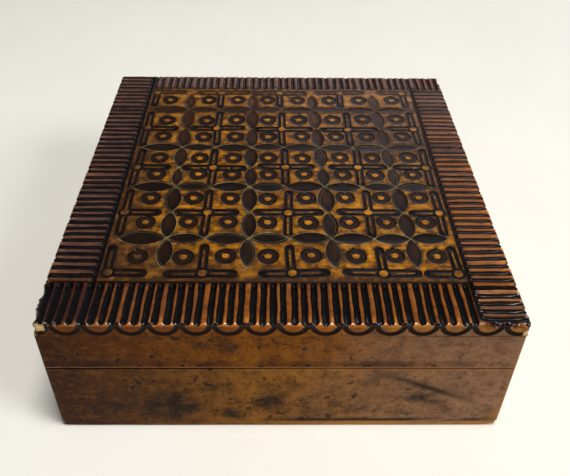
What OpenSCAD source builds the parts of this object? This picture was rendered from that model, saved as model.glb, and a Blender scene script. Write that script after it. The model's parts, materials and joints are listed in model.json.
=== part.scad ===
// Wooden keepsake box with a hinged lid and a stamped, burnt lid panel.
// Millimetres. The origin is the middle of the underside, +Z is up and the front faces -Y.

/* [Box] */
// Width of the lid panel, the widest piece
box_w = 140; // [110:1:220]
// Depth of the lid panel, front to back
box_d = 140; // [110:1:220]
// Height of the base, from the table to the seam
base_h = 30; // [20:0.5:80]
// Height of the lid, from the seam to its top
lid_h = 20; // [17:0.5:50]
// Thickness of the eight walls
wall_t = 7; // [6:0.5:10]
// Radius of the walls' four upright corners
corner_r = 1; // [0.9:0.1:4]
// Bevel on the walls' outer edges at the seam
seam_bevel = 0.3; // [0.1:0.05:0.6]

/* [Boards] */
// Thickness of the lid panel
panel_t = 5; // [4.8:0.1:9]
// How far the lid panel stands out past the walls
panel_proud = 0.3; // [0.1:0.1:1]
// Radius of the lid panel's four upright corners
panel_corner_r = 1.4; // [1.3:0.1:4]
// Rounding of the lid panel's upper rim
panel_rim_r = 1.2; // [0.6:0.1:1.3]
// Thickness of the bottom board
bottom_t = 3; // [2:0.5:6]
// Rounding of the bottom board's lower rim
bottom_rim_r = 0.8; // [0.4:0.1:0.9]

/* [Ribbed border] */
// Width of the border at the left and right sides
border_side = 13.3; // [8:0.1:20]
// Width of the border at the front
border_front = 15; // [8:0.1:20]
// Width of the border at the back
border_back = 10.5; // [8:0.1:20]
// Number of teeth on the comb stamp
comb_teeth = 4; // [2:1:6]
// Spacing of the comb's teeth
tooth_pitch = 2.85; // [2.4:0.05:4]
// Space left between one stamp of the comb and the next
comb_gap = 1.65; // [1:0.05:3]
// Width of a rib groove
rib_w = 1.7; // [1:0.05:2.2]
// Depth of a rib groove
rib_depth = 0.8; // [0.3:0.05:1]
// Distance from a strip's end to its first groove
rib_inset = 1.5; // [1.3:0.1:4]
// Width of the line along the inner side of each strip
frame_w = 1.1; // [0.6:0.1:2]

/* [Field] */
// Distance between two nodes of the pattern
cell = 26.7; // [22:0.1:36]
// Radius of a node's raised disc
node_r = 1.3; // [0.8:0.1:1.8]
// Width of the line round a node's disc
node_line = 0.8; // [0.5:0.1:1.2]
// Reach of a node's arms from its middle
arm_l = 11.5; // [8:0.1:13]
// Width of an arm
arm_w = 2.4; // [1.8:0.1:3]
// Width of the ridge along an arm's middle
arm_ridge = 0.6; // [0.3:0.1:1]
// Outer radius of a stamped ring
ring_r = 3.5; // [2.5:0.1:3.8]
// Width of a stamped ring, both of its grooves together
ring_line = 2.1; // [1.2:0.1:2.4]
// Width of the ridge between a ring's two grooves
ring_ridge = 0.3; // [0.2:0.05:0.6]
// How far a petal stays inside its two arcs
petal_gap = 0.15; // [0.1:0.05:0.6]
// Depth of the rings, nodes, arms and frame line
stamp_depth = 0.5; // [0.2:0.05:1]
// Depth of the burnt petals
petal_depth = 0.25; // [0.1:0.05:0.6]

/* [Scalloped edge] */
// Spacing of the half rings along the panel's edges
scallop_pitch = 9.1; // [8.4:0.1:14]
// Outer radius of a half ring
scallop_r = 4; // [2.5:0.1:4.1]
// Distance from the panel's top down to a half ring's centre
scallop_drop = 0.7; // [0.4:0.1:0.8]
// Width of a half ring's line
scallop_line = 0.95; // [0.5:0.05:1.5]
// Depth of a half ring
scallop_depth = 0.3; // [0.1:0.05:0.6]

/* [Hinges] */
// Distance from a side of the walls to the middle of the nearer hinge
hinge_inset = 30; // [16:0.5:50]
// Length of a hinge
hinge_l = 20; // [16:0.5:30]
// Radius of a hinge's barrel
barrel_r = 1.5; // [1.3:0.05:1.8]
// Radius of the hinge pin
pin_r = 0.7; // [0.5:0.05:0.8]
// Clearance round the pin
pin_clear = 0.05; // [0.02:0.01:0.08]
// Thickness of a hinge leaf
leaf_t = 0.9; // [0.7:0.05:1.2]
// How far a leaf's face lies back from the seam
leaf_sink = 0.1; // [0.05:0.05:0.3]
// Wood left between a leaf's edge and the inside of the wall
leaf_land = 0.3; // [0.2:0.1:1]
// Clearance between a leaf and the edges of its mortise
mortise_clear = 0.1; // [0.05:0.05:0.3]
// Gap between neighbouring knuckles
knuckle_gap = 0.2; // [0.1:0.05:0.5]
// Clearance between a barrel and what turns past it
barrel_clear = 0.3; // [0.2:0.05:0.5]
// Angle through which the lid opens
open_angle = 105; // [90:1:120]
// Angle left between the stop faces of the open lid
stop_margin = 2; // [1:0.5:5]

/* [Screws] */
// Distance between a leaf's two screws
screw_spacing = 12; // [8:0.5:14]
// Radius of a screw's head
screw_head_r = 1.3; // [1:0.05:1.4]
// Radius of a screw's shank
screw_r = 0.7; // [0.5:0.05:0.8]
// Length of a screw
screw_l = 7; // [4:0.5:9]
// Clearance round a screw in its holes
screw_clear = 0.05; // [0.03:0.01:0.1]
// Width of a screw's slot
slot_w = 0.35; // [0.2:0.05:0.5]

/* [Hidden] */
$fn = 48;

wall_colour = "#6B4526";
panel_colour = "#A8651A";
brass_colour = "#B08D4F";

// How far a cutting shape reaches past the surface that it cuts
over = 1;
// The same below the seam's bevel, whose cut stays clear of the corner's axis
bevel_over = 0.2;

wall_w = box_w - 2 * panel_proud;
wall_d = box_d - 2 * panel_proud;
lid_wall_h = lid_h - panel_t;
front = 0;
right = 1;
back = 2;
left = 3;

// The hinge axis runs along X, with the barrels flush with the back of the walls
axis_y = wall_d / 2 - barrel_r;
axis_z = base_h;
hinge_x = wall_w / 2 - hinge_inset;
leaf_w = wall_t - barrel_r - leaf_land;
knuckle_l = (hinge_l - 2 * knuckle_gap) / 3;
knuckle_relief_r = barrel_r + barrel_clear;
bore_r = pin_r + pin_clear;
screw_y = axis_y - (leaf_w + knuckle_relief_r) / 2;
screw_hole_r = screw_r + screw_clear;
head_h = screw_head_r - screw_r;

// Two bevels along the back of the seam meet when the lid is open and stop it
stop_bevel = (open_angle + stop_margin) / 2;

comb_step = (comb_teeth - 1) * tooth_pitch + rib_w + comb_gap;
rib_r = (rib_w * rib_w / 4 + rib_depth * rib_depth) / (2 * rib_depth);

field_w = box_w - 2 * border_side;
field_d = box_d - border_front - border_back;
field_y = (border_front - border_back) / 2;
field_rim = node_r + node_line + frame_w;
cells_x = floor((field_w - 2 * field_rim) / cell);
cells_y = floor((field_d - 2 * field_rim) / cell);
quarter = cell / 2;
arm_line = (arm_w - arm_ridge) / 2;
petal_arc_r = quarter / sqrt(2) - petal_gap;

// Outlines

module rounded_rectangle(w, d, r) {
    square([w - 2 * r, d], center = true);
    square([w, d - 2 * r], center = true);
    for (x = [-1, 1], y = [-1, 1])
        translate([x * (w / 2 - r), y * (d / 2 - r)])
            circle(r);
}

// One side's share of a mitred frame, for side 0 to 3 counted from the front anticlockwise
module mitre_outline(w, d, t, side) {
    x = w / 2;
    y = d / 2;
    outer = [[-x, -y], [x, -y], [x, y], [-x, y]];
    inner = [[t - x, t - y], [x - t, t - y], [x - t, y - t], [t - x, y - t]];
    next = (side + 1) % 4;
    polygon([outer[side], outer[next], inner[next], inner[side]]);
}

// Runs a profile round a rounded rectangle: the profile's X is the distance out from the
// corner centres and its Y is the height
module run_round(w, d, r) {
    for (turn = [0 : 3]) {
        along = turn % 2 == 0 ? d : w;
        across = turn % 2 == 0 ? w : d;
        rotate(90 * turn)
            translate([across / 2 - r, along / 2 - r, 0]) {
                rotate_extrude(angle = 90)
                    children();
                rotate([90, 0, 0])
                    linear_extrude(along - 2 * r)
                        children();
            }
    }
}

// A board with rounded upright corners and a rounded upper rim
module round_board(w, d, t, r, rim_r) {
    run_round(w, d, r)
        difference() {
            square([r, t]);
            translate([r - rim_r, t - rim_r])
                difference() {
                    square(rim_r + over);
                    circle(rim_r);
                }
        }
    translate([r - w / 2, r - d / 2, 0])
        cube([w - 2 * r, d - 2 * r, t]);
}

// Walls

// A bevel at 45 degrees round the foot of the walls' outer faces
module seam_bevel_cut() {
    near = corner_r - seam_bevel - bevel_over;
    far = corner_r + over;
    run_round(wall_w, wall_d, corner_r)
        polygon([[near, -bevel_over], [far, -bevel_over], [far, seam_bevel + over]]);
}

// The stop bevel along the back of the lid's lower edge, apex on the hinge axis
module stop_bevel_cut() {
    reach = barrel_r + over;
    rise = reach * tan(stop_bevel);
    rotate([90, 0, 90])
        linear_extrude(wall_w + 2 * over, center = true)
            translate([axis_y, 0])
                polygon([[-reach, -rise], [reach, -rise], [reach, rise]]);
}

// Room in the back wall for one hinge leaf, both barrels' sweep and the leaf's screws
module hinge_seat_cut() {
    seat_l = hinge_l + 2 * mortise_clear;
    seat_w = leaf_w + mortise_clear;
    translate([-seat_l / 2, axis_y - seat_w, -over])
        cube([seat_l, seat_w + barrel_r, leaf_t + leaf_sink + over]);
    translate([0, axis_y, 0])
        rotate([0, 90, 0])
            cylinder(r = knuckle_relief_r, h = hinge_l + 2 * barrel_clear, center = true);
    for (x = [-1, 1])
        translate([x * screw_spacing / 2, screw_y, 0])
            cylinder(r = screw_hole_r, h = leaf_sink + screw_l + screw_clear);
}

// A wall standing up from the seam at z = 0, as in the lid
module seam_wall(side, h) {
    color(wall_colour)
        difference() {
            linear_extrude(h)
                intersection() {
                    rounded_rectangle(wall_w, wall_d, corner_r);
                    mitre_outline(wall_w, wall_d, wall_t, side);
                }
            if (side != back)
                seam_bevel_cut();
            if (side != front)
                stop_bevel_cut();
            if (side == back)
                for (x = [-1, 1])
                    translate([x * hinge_x, 0, 0])
                        hinge_seat_cut();
        }
}

module lid_wall(side) {
    translate([0, 0, base_h])
        seam_wall(side, lid_wall_h);
}

// The base's walls hang down from the seam
module base_wall(side) {
    translate([0, 0, base_h])
        mirror([0, 0, 1])
            seam_wall(side, base_h - bottom_t);
}

module base_front_wall() {
    base_wall(front);
}

module base_back_wall() {
    base_wall(back);
}

module base_left_wall() {
    base_wall(left);
}

module base_right_wall() {
    base_wall(right);
}

module lid_front_wall() {
    lid_wall(front);
}

module lid_back_wall() {
    lid_wall(back);
}

module lid_left_wall() {
    lid_wall(left);
}

module lid_right_wall() {
    lid_wall(right);
}

// Boards

module base_bottom_board() {
    color(wall_colour)
        translate([0, 0, bottom_t])
            mirror([0, 0, 1])
                round_board(wall_w, wall_d, bottom_t, corner_r, bottom_rim_r);
}

// Cuts a flat shape down into the panel's top, which is at z = 0 here
module stamp(depth) {
    translate([0, 0, -depth])
        linear_extrude(depth + over)
            children();
}

// One strip of comb grooves: X runs along the strip and Y runs in from the panel's edge
module rib_strip(length, width) {
    first = rib_inset + rib_w / 2;
    last = length - frame_w - rib_w / 2;
    combs = floor((last - first) / comb_step);
    for (comb = [0 : combs], tooth = [0 : comb_teeth - 1]) {
        x = first + comb * comb_step + tooth * tooth_pitch;
        if (x <= last)
            translate([x, -over, rib_r - rib_depth])
                rotate([-90, 0, 0])
                    cylinder(r = rib_r, h = width - frame_w + over);
    }
}

// The line inside a strip runs out over the panel's edge where the strip starts
module strip_line(length, width) {
    translate([-over, width - frame_w / 2])
        square([over + length + frame_w / 2, frame_w]);
}

// The four strips and their lines lap round the corners like a pinwheel
module rib_border() {
    widths = [border_front, border_side, border_back, border_side];
    for (side = [front : left]) {
        along = side % 2 == 0 ? box_w : box_d;
        across = side % 2 == 0 ? box_d : box_w;
        length = along - widths[(side + 1) % 4];
        rotate(90 * side)
            translate([-along / 2, -across / 2, 0]) {
                rib_strip(length, widths[side]);
                stamp(stamp_depth)
                    strip_line(length, widths[side]);
            }
    }
}

// The directions in which a node's arms run, as quarter turns
function arm_turns(i, j) = [
    if (i < cells_x) 0,
    if (j < cells_y) 1,
    if (i > 0) 2,
    if (j > 0) 3
];

module node_mark(turns) {
    difference() {
        union() {
            circle(node_r + node_line);
            for (turn = turns)
                rotate(90 * turn) {
                    translate([0, -arm_w / 2])
                        square([arm_l - arm_w / 2, arm_w]);
                    translate([arm_l - arm_w / 2, 0])
                        circle(arm_w / 2);
                }
        }
        circle(node_r);
        for (turn = turns)
            rotate(90 * turn)
                translate([0, -arm_ridge / 2])
                    square([arm_l - arm_line, arm_ridge]);
    }
}

module ring_line_mark(outer_r, line) {
    difference() {
        circle(outer_r);
        circle(outer_r - line);
    }
}

// A stamped ring: two grooves with a ridge between them
module ring_mark() {
    difference() {
        ring_line_mark(ring_r, ring_line);
        ring_line_mark(ring_r - (ring_line - ring_ridge) / 2, ring_ridge);
    }
}

// A petal along Y between the arcs of two neighbouring circles
module petal_mark() {
    intersection_for (x = [-1, 1])
        translate([x * quarter / 2, 0])
            circle(petal_arc_r);
}

module field_pattern() {
    translate([-cells_x * cell / 2, field_y - cells_y * cell / 2, 0]) {
        for (i = [0 : cells_x], j = [0 : cells_y])
            translate([i * cell, j * cell, 0])
                stamp(stamp_depth)
                    node_mark(arm_turns(i, j));
        for (i = [0 : 2 * cells_x - 1], j = [0 : 2 * cells_y - 1])
            translate([(i + 0.5) * quarter, (j + 0.5) * quarter, 0])
                stamp(stamp_depth)
                    ring_mark();
        for (i = [0 : cells_x - 1], j = [0 : 2 * cells_y - 1])
            translate([(i + 0.5) * cell, (j + 0.5) * quarter, 0])
                stamp(petal_depth)
                    petal_mark();
        for (i = [0 : 2 * cells_x - 1], j = [0 : cells_y - 1])
            translate([(i + 0.5) * quarter, (j + 0.5) * cell, 0])
                rotate(90)
                    stamp(petal_depth)
                        petal_mark();
    }
}

module scallop_mark() {
    difference() {
        ring_line_mark(scallop_r, scallop_line);
        translate([-scallop_r - over, 0])
            square([2 * (scallop_r + over), scallop_r + over]);
    }
}

// Half rings hang in a row from the rim of each edge of the panel
module scallops() {
    for (side = [front : left]) {
        along = side % 2 == 0 ? box_w : box_d;
        across = side % 2 == 0 ? box_d : box_w;
        count = floor((along - 2 * panel_corner_r) / scallop_pitch);
        rotate(90 * side)
            for (k = [0 : count - 1])
                translate([(k - (count - 1) / 2) * scallop_pitch, 0, -scallop_drop])
                    translate([0, scallop_depth - across / 2, 0])
                        rotate([90, 0, 0])
                            linear_extrude(scallop_depth + over)
                                scallop_mark();
    }
}

module lid_panel() {
    color(panel_colour)
        translate([0, 0, base_h + lid_h])
            difference() {
                translate([0, 0, -panel_t])
                    round_board(box_w, box_d, panel_t, panel_corner_r, panel_rim_r);
                rib_border();
                field_pattern();
                scallops();
            }
}

// Hinges

// Places a piece of a hinge at the left or right hinge, with its axis along X through the origin
module at_hinge(x) {
    translate([x * hinge_x, axis_y, axis_z])
        children();
}

// A piece of the barrel along X between two distances from the hinge's middle
module barrel(r, from, to) {
    translate([from, 0, 0])
        rotate([0, 90, 0])
            cylinder(r = r, h = to - from);
}

// Screw holes in a leaf that lies above the axis
module leaf_screw_holes() {
    sink_r = screw_head_r + 2 * screw_clear;
    for (x = [-1, 1])
        translate([x * screw_spacing / 2, screw_y - axis_y, leaf_sink]) {
            translate([0, 0, -over])
                cylinder(r = screw_hole_r, h = leaf_t + 2 * over);
            translate([0, 0, -screw_clear])
                cylinder(r1 = sink_r, r2 = screw_hole_r, h = head_h + screw_clear);
        }
}

// A leaf above the axis, with knuckles and with room for the other leaf's knuckles
module leaf(knuckles, rooms) {
    color(brass_colour)
        difference() {
            union() {
                translate([-hinge_l / 2, -leaf_w, leaf_sink])
                    cube([hinge_l, leaf_w, leaf_t]);
                for (k = knuckles)
                    barrel(barrel_r, k[0], k[1]);
            }
            for (k = rooms)
                barrel(knuckle_relief_r, k[0], k[1]);
            barrel(bore_r, -hinge_l / 2 - over, hinge_l / 2 + over);
            leaf_screw_holes();
        }
}

module lid_leaf() {
    middle = knuckle_l / 2;
    end = hinge_l / 2 + over;
    leaf([[-middle, middle]], [[-end, -middle], [middle, end]]);
}

module base_leaf() {
    middle = knuckle_l / 2 + knuckle_gap;
    end = hinge_l / 2;
    mirror([0, 0, 1])
        leaf([[-end, -middle], [middle, end]], [[-middle, middle]]);
}

module hinge_pin() {
    color(brass_colour)
        barrel(pin_r, -hinge_l / 2, hinge_l / 2);
}

// The two screws of a leaf above the axis, heads down
module leaf_screws() {
    tip_h = 2 * screw_r;
    color(brass_colour)
        for (x = [-1, 1])
            translate([x * screw_spacing / 2, screw_y - axis_y, leaf_sink])
                difference() {
                    union() {
                        cylinder(r1 = screw_head_r, r2 = screw_r, h = head_h);
                        cylinder(r = screw_r, h = screw_l - tip_h);
                        translate([0, 0, screw_l - tip_h])
                            cylinder(r1 = screw_r, r2 = screw_r / 4, h = tip_h);
                    }
                    translate([0, 0, head_h / 4])
                        cube([2 * screw_head_r + over, slot_w, head_h / 2], center = true);
                }
}

module base_leaf_screws() {
    mirror([0, 0, 1])
        leaf_screws();
}

module hinge_left_base_leaf() {
    at_hinge(-1) base_leaf();
}

module hinge_left_lid_leaf() {
    at_hinge(-1) lid_leaf();
}

module hinge_left_pin() {
    at_hinge(-1) hinge_pin();
}

module hinge_right_base_leaf() {
    at_hinge(1) base_leaf();
}

module hinge_right_lid_leaf() {
    at_hinge(1) lid_leaf();
}

module hinge_right_pin() {
    at_hinge(1) hinge_pin();
}

module hinge_left_base_screws() {
    at_hinge(-1) base_leaf_screws();
}

module hinge_left_lid_screws() {
    at_hinge(-1) leaf_screws();
}

module hinge_right_base_screws() {
    at_hinge(1) base_leaf_screws();
}

module hinge_right_lid_screws() {
    at_hinge(1) leaf_screws();
}

base_front_wall();
base_back_wall();
base_left_wall();
base_right_wall();
base_bottom_board();
lid_front_wall();
lid_back_wall();
lid_left_wall();
lid_right_wall();
lid_panel();
hinge_left_base_leaf();
hinge_left_lid_leaf();
hinge_left_pin();
hinge_right_base_leaf();
hinge_right_lid_leaf();
hinge_right_pin();
hinge_left_base_screws();
hinge_left_lid_screws();
hinge_right_base_screws();
hinge_right_lid_screws();
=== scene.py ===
"""Looks of the wooden keepsake box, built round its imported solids.

The lid panel is drawn again as a relief, with every stamped rib, ring, arm and petal cut into it, and the
bottom board with its worn foot. The walls and the hinges keep their solids and get their finishes here.
"""
import json
import math
import random
from collections import namedtuple

import bmesh
import bpy
import numpy as np
from mathutils import Matrix, Vector
from mathutils.geometry import delaunay_2d_cdt


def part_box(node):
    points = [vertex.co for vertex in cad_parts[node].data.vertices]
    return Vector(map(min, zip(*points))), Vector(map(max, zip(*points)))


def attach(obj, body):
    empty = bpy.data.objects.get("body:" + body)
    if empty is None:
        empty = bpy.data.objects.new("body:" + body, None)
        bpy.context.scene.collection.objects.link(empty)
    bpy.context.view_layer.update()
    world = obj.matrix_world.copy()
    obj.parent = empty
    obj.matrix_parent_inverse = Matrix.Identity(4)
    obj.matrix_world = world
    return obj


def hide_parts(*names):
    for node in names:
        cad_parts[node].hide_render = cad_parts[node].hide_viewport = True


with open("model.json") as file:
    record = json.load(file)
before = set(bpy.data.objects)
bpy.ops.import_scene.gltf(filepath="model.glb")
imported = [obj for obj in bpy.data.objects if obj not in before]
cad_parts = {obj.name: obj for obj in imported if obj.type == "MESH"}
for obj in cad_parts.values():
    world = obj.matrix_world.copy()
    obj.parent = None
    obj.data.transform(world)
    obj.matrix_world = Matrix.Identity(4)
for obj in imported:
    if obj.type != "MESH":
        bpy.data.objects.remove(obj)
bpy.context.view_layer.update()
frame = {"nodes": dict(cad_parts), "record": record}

MM = 0.001
SEED = 14

# Lid panel, in mm, from its solid
panel_low, panel_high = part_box("lid_panel")
HALF = (panel_high[0] - panel_low[0]) / 2 / MM
TOP = panel_high[2] / MM
PANEL_T = TOP - panel_low[2] / MM
CORNER_R = 1.4

# Relief of the panel, in mm: how far it lies below the solid's faces, so that its waves stay inside them,
# the waves' size, the steps along its lines, its rim and its plain ground, and the distances below which
# points of the outline are left out and others are joined. Then the shares of a corner's bend that are drawn,
# the angle from which the shading breaks, and the layers of its finish.
SINK = 0.06
WAVE = 0.02
LINE_STEP = 2.2
RIM_STEP = 1.6
GROUND_STEP = 1.8
LEAST_STEP = 0.02
CLOSE = 4e-3
WELD = 3e-3
CORNER_SHARES = np.linspace(0, 1, 7)
SHARP_DEG = 62
LAYERS = ("burn", "smoke", "scribe", "stain", "bare", "tone", "halo")

# Worn rim of the panel, in mm and degrees: it bends down, runs on as a narrow slope and then rounds over.
# The front left corner is worn in along x, by a depth that fades along x and y.
RIM_SLOPE = 27
RIM_BEND_L = 0.3
RIM_SLOPE_L = 0.6
RIM_ROUND_R = 0.8
RIM_ROWS = (0.0, 0.3, 0.6, 0.9, 1.25)
RIM_END = 2.3
CORNER_WEAR = (0.8, 3.0, 5.0)

# Walls and bottom, in mm, from their solids
wall_low, wall_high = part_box("base_front_wall")
WALL_HALF = wall_high[0] / MM
SEAM_Z = wall_high[2] / MM
FOOT_Z = wall_low[2] / MM
INNER_HALF = -wall_high[1] / MM
WALL_CORNER_R = 1.0

# Lower rim of the bottom board: its uneven rounding, the step along it, the angle from which its shading
# breaks, and the wear of its corners (side in x and y, depth, reach)
FOOT_RIM_R = 0.45
FOOT_WAVE = 0.08
FOOT_RIM_STEP = 2.0
FOOT_SHARP_DEG = 40
FOOT_WEAR = ((1, -1, 1.2, 2.6), (-1, -1, 0.5, 4.0), (-1, 1, 1.0, 6.0), (1, 1, 0.6, 6.0))

# Ribbed border: its width on the front, right, back and left, and the comb of four stamps, in mm.
# The grooves of each strip have a width and a depth of burn at its start, middle and end; the weaker burn
# towards the back also stands for a painted sheen there. The ridges have a tint there, from 0, orange, to 1,
# dark mauve, which is partly a painted sheen at the back and left, and brighter below 0, which is painted
# light from the right.
BORDERS = (16.1, 13.9, 11.0, 14.5)
COMB_TEETH = 4
TOOTH_PITCH = 2.85
COMB_STEP = 11.9
RIB_START = 2.3
STRIP_MIDDLE = -25
RIB_WIDTHS = ((2.2, 1.9, 1.85), (1.75, 1.65, 1.6), (1.55, 1.55, 1.55), (1.65, 1.65, 1.7))
RIB_BURNS = ((1.0, 1.0, 1.0), (0.95, 0.85, 0.7), (0.66, 0.66, 0.66), (0.72, 0.9, 1.0))
RIDGE_TONES = ((0.6, 0.05, 0.0), (-0.2, 0.0, 0.95), (0.75, 0.95, 1.0), (1.0, 0.95, 0.95))
BRIGHTEST_PAINTED_LIGHT = -0.2
RIB_DEPTH = 0.8
RIB_STOP = 0.5
RIB_OVERLAP = 0.5
RIB_REACH = 2.4
RIB_SHOULDER = 0.12
RIB_SHOALING = 0.4
RIB_ROUNDING = 1.1
RIB_STATIONS = (-1.14, -1.0, -0.82, -0.45, 0.0, 0.45, 0.82, 1.0, 1.14)
LINE_WIDTHS = (0.7, 1.3, 0.9, 1.7)
LINE_DEPTHS = (0.275, 0.55, 0.55, 0.55)
LINE_START = 0.35

# Chance spread of the ribs: place, lean of a comb and of a tooth, half width, depth, length over the rim
# and tint. Then the waves of a rib's middle line (size, length, turns of its phase), and its swelling width.
RIB_SHIFT = 0.1
COMB_LEAN = 0.012
TOOTH_LEAN = 0.006
HALF_SPREAD = 0.08
DEPTH_SPREAD = (-0.12, 0.08)
RIB_TIPS = (1.1, 1.5)
TONE_SPREAD = 0.2
RIB_WAVES = ((0.06, 2.4, 1.0), (0.03, 0.9, 2.3))
RIB_SWELL = (0.06, 1.7, 1.7)

# Char over the whole left end of the front strip, and over the rim where the right strip ends at the front:
# how strong, and the places along the front, or ways down over the rim, where it starts and is full.
# Soot dulls the lacquer for a little way on both sides of the front line, in mm from that line.
END_CHAR = (0.6, -36, -64)
CORNER_CHAR = (0.95, 1.7, 1.3)
DULL_ZONE = (-2.8, 0.6)

# Columns and rows that the stamps follow, in mm from the lid's middle. The columns lean a little,
# so each has a place at the back row and one at the front row, and the rings' rows rise to the right.
NODE_COLUMNS_BACK = (-52.3, -25.4, -0.3, 25.2, 51.7)
NODE_COLUMNS_FRONT = (-51.9, -24.1, 3.2, 30.5, 53.3)
NODE_ROWS = (55.5, 27.7, 2.5, -22.4, -50.3)
PETAL_COLUMNS_BACK = (-37.5, -11.8, 13.0, 38.5)
PETAL_COLUMNS_FRONT = (-36.5, -10.4, 16.7, 41.6)
PETAL_ROWS = (41.7, 15.2, -8.7, -35.0)
RING_COLUMNS_BACK = (-45.9, -29.6, -17.9, -5.4, 7.0, 20.3, 32.6, 46.2)
RING_COLUMNS_FRONT = (-44.1, -30.2, -17.2, -4.1, 9.2, 23.2, 35.0, 48.2)
RING_ROWS = (49.4, 34.2, 22.2, 8.3, -1.7, -15.0, -27.4, -43.0)
RING_RISES = (1.0, 2.6, 0.4, 0.8, 0.0, 1.2, 0.3, 0.8)

# Stamps of the field, in mm. The discs' back row is only faintly burnt, from one row to another.
NODE_R = 1.4
NODE_OUTER = NODE_R + 0.95
NODE_SHIFT = 0.3
FAINT_ROW = (0.55, 52.5, 54.5)
LEVEL_ARMS = (10.3, 12.6)
UPRIGHT_ARMS = (11.5, 12.7)
LEVEL_ARM_W = 3.6
UPRIGHT_ARM_W = 3.05
ARM_TURN = 0.035
ARM_SHIFT = 0.35
ARM_JOINED = 0.15
ARM_RIDGE = 0.95
ARM_DEPTH = 0.18
RING_R = 3.4
RING_SHIFT = 0.35
RING_LEAN = 0.3
RING_SPREAD = 0.05
RING_REACH = RING_R + 0.8
RING_GROOVES = ((2.86, 0.92), (1.7, 0.66))
RING_FLOOR_DEPTH = 0.1
RING_DEPTH = 0.22
DOT_R = 1.08
DOT_FLATTENING = 1.16
FLAG_START = (-0.4, 0.4)
FLAG_END = (-1.35, 0.8)
FLAG_HALF = 0.24
NOTCHED = 0.4
NOTCH_R = 0.55
NOTCH_PLACES = (-0.9, 0.7)
PETAL_SLENDER = 0.2
PETAL_THINNING = 0.003
PETAL_SPREAD = 0.12
PETAL_SHORT = 2.4
PETAL_DEPTH = 0.16
PETAL_SHIFT = 0.15
PETAL_WIDTHS = (0.94, 1.06)
PETAL_BURN = 0.88
PETAL_FADING = (0.22, 5, 40)
LEVEL_BROWNS = (0, 0.1)
UPRIGHT_BROWNS = (0.15, 0.45)
SCRIBE_W = 0.2
SCRIBE_DEPTH = 0.04
SCRIBE_PAST = 0.7
HALO = 1.5
HALO_CLEARED = 0.75

# Scratched lines of the petals: how far outside the edge and how plain, the chance of a second line inside
# the edge with the same two, and the row behind which all are fainter, with how plain they are there
SCRIBE_OFFSETS = (-0.15, 0.25)
SCRIBE_LEVELS = (0.4, 0.7, 0.9, 1.0)
SECOND_SCRIBE = 0.25
SECOND_OFFSETS = (-0.8, -0.55)
SECOND_LEVEL = 0.5
FAINT_SCRIBES = (20, 0.45)

# Circles that a disc and a ring are drawn with: radius and number of points
NODE_CIRCLES = (
    (NODE_OUTER + 0.2, 28), (NODE_OUTER, 28), (NODE_OUTER - 0.3, 24), (NODE_R + 0.22, 20), (NODE_R, 20),
    (NODE_R - 0.2, 16), (NODE_R * 0.5, 10),
)
RING_CIRCLES = ((3.6, 26), (3.38, 26), (3.1, 24), (2.46, 22), (2.22, 20), (2.0, 20), (1.6, 16))
DOT_OVALS = ((0.2, 22), (0.04, 22), (-0.14, 18), (-0.6, 8))

# Half rings on the panel's edge, in mm
SCALLOP_PITCH = 9.05
SCALLOP_FIRST = -69.15
SCALLOP_R = 4.6
SCALLOP_DROP = 0.85
SCALLOP_LINE = 1.45
SCALLOP_DEPTH = 0.3
SCALLOP_BURN = 0.95
SCALLOP_FADING = 0.3
SCALLOP_INSETS = (-0.18, 0.0, 0.25, 0.95, 1.2, 1.4)

# Chips in the front corners: place along the front, way down from the flat top, half sizes and depth
CHIPS = ((-67.9, 2.3, 2.0, 1.6, 0.5), (69.0, 4.5, 0.9, 1.1, 0.35))
CHIP_STEP = 0.28

# Sooty patches on the field: place, reach along x and y, strength
SMOKE = (
    (39.0, 18.0, 15.0, 13.0, 0.9),
    (63.5, -66.5, 10.0, 4.0, 0.95),
    (37.0, 38.0, 5.0, 14.0, 0.5),
    (-42.0, -44.0, 13.0, 6.5, 1.35),
    (-28.0, -47.5, 14.0, 3.0, 0.6),
    (-6.0, -48.4, 26.0, 2.2, 0.75),
    (0.0, -53.0, 90.0, 1.7, 1.2),
    (-2.0, 41.7, 90.0, 2.2, 2.2),
    (0.0, 57.0, 90.0, 3.0, 0.75),
    (24.0, 15.2, 50.0, 2.4, 2.0),
    (-8.0, -8.7, 60.0, 2.6, 1.2),
    (-54.0, 10.0, 2.6, 70.0, 0.75),
    (54.5, 5.0, 2.2, 70.0, 0.5),
    (-37.0, 34.0, 4.0, 14.0, 0.3),
    (-12.0, 30.0, 5.0, 14.0, 0.4),
    (-36.0, 4.0, 5.0, 9.0, 0.25),
    (-49.5, -10.0, 7.0, 45.0, 1.1),
)

# Patterns in the wood: size in mm, detail, roughness, and stretch, which is below 1 where they are drawn out
EVEN = (1.0, 1.0, 1.0)
STAIN_PATTERNS = {
    "cloud": (18, 6.0, 0.65, EVEN),
    "grain": (1.0, 5.0, 0.6, (0.08, 0.08, 1.0)),
    "mottle": (5, 7.0, 0.72, EVEN),
    "flakes": (2.2, 6.0, 0.7, (0.45, 0.45, 1.0)),
    "specks": (1.7, 5.0, 0.7, EVEN),
    "ragged": (7, 9.0, 0.7, EVEN),
}
AMBER_PATTERNS = {
    "grain": (1.2, 6.0, 0.65, (0.1, 1.0, 1.0)),
    "cloud": (14, 5.0, 0.6, EVEN),
    "dashes": (0.55, 2.0, 0.5, (0.28, 1.0, 1.0)),
    "blotch": (2.6, 5.0, 0.6, EVEN),
}
WALL_PATTERNS = {
    "dashes": (0.8, 2.0, 0.5, (0.55, 0.55, 1.0)),
    "ragged": (2.2, 4.0, 0.7, (0.08, 0.08, 1.0)),
}
BOARD_GRAIN = (1.1, 5.0, 0.6, (0.06, 1.0, 1.0))
BRASS_TARNISH = (2.5, 5.0, 0.65, EVEN)
FLOOR_CLOUD = (60, 3.0, 0.5, EVEN)
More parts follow.
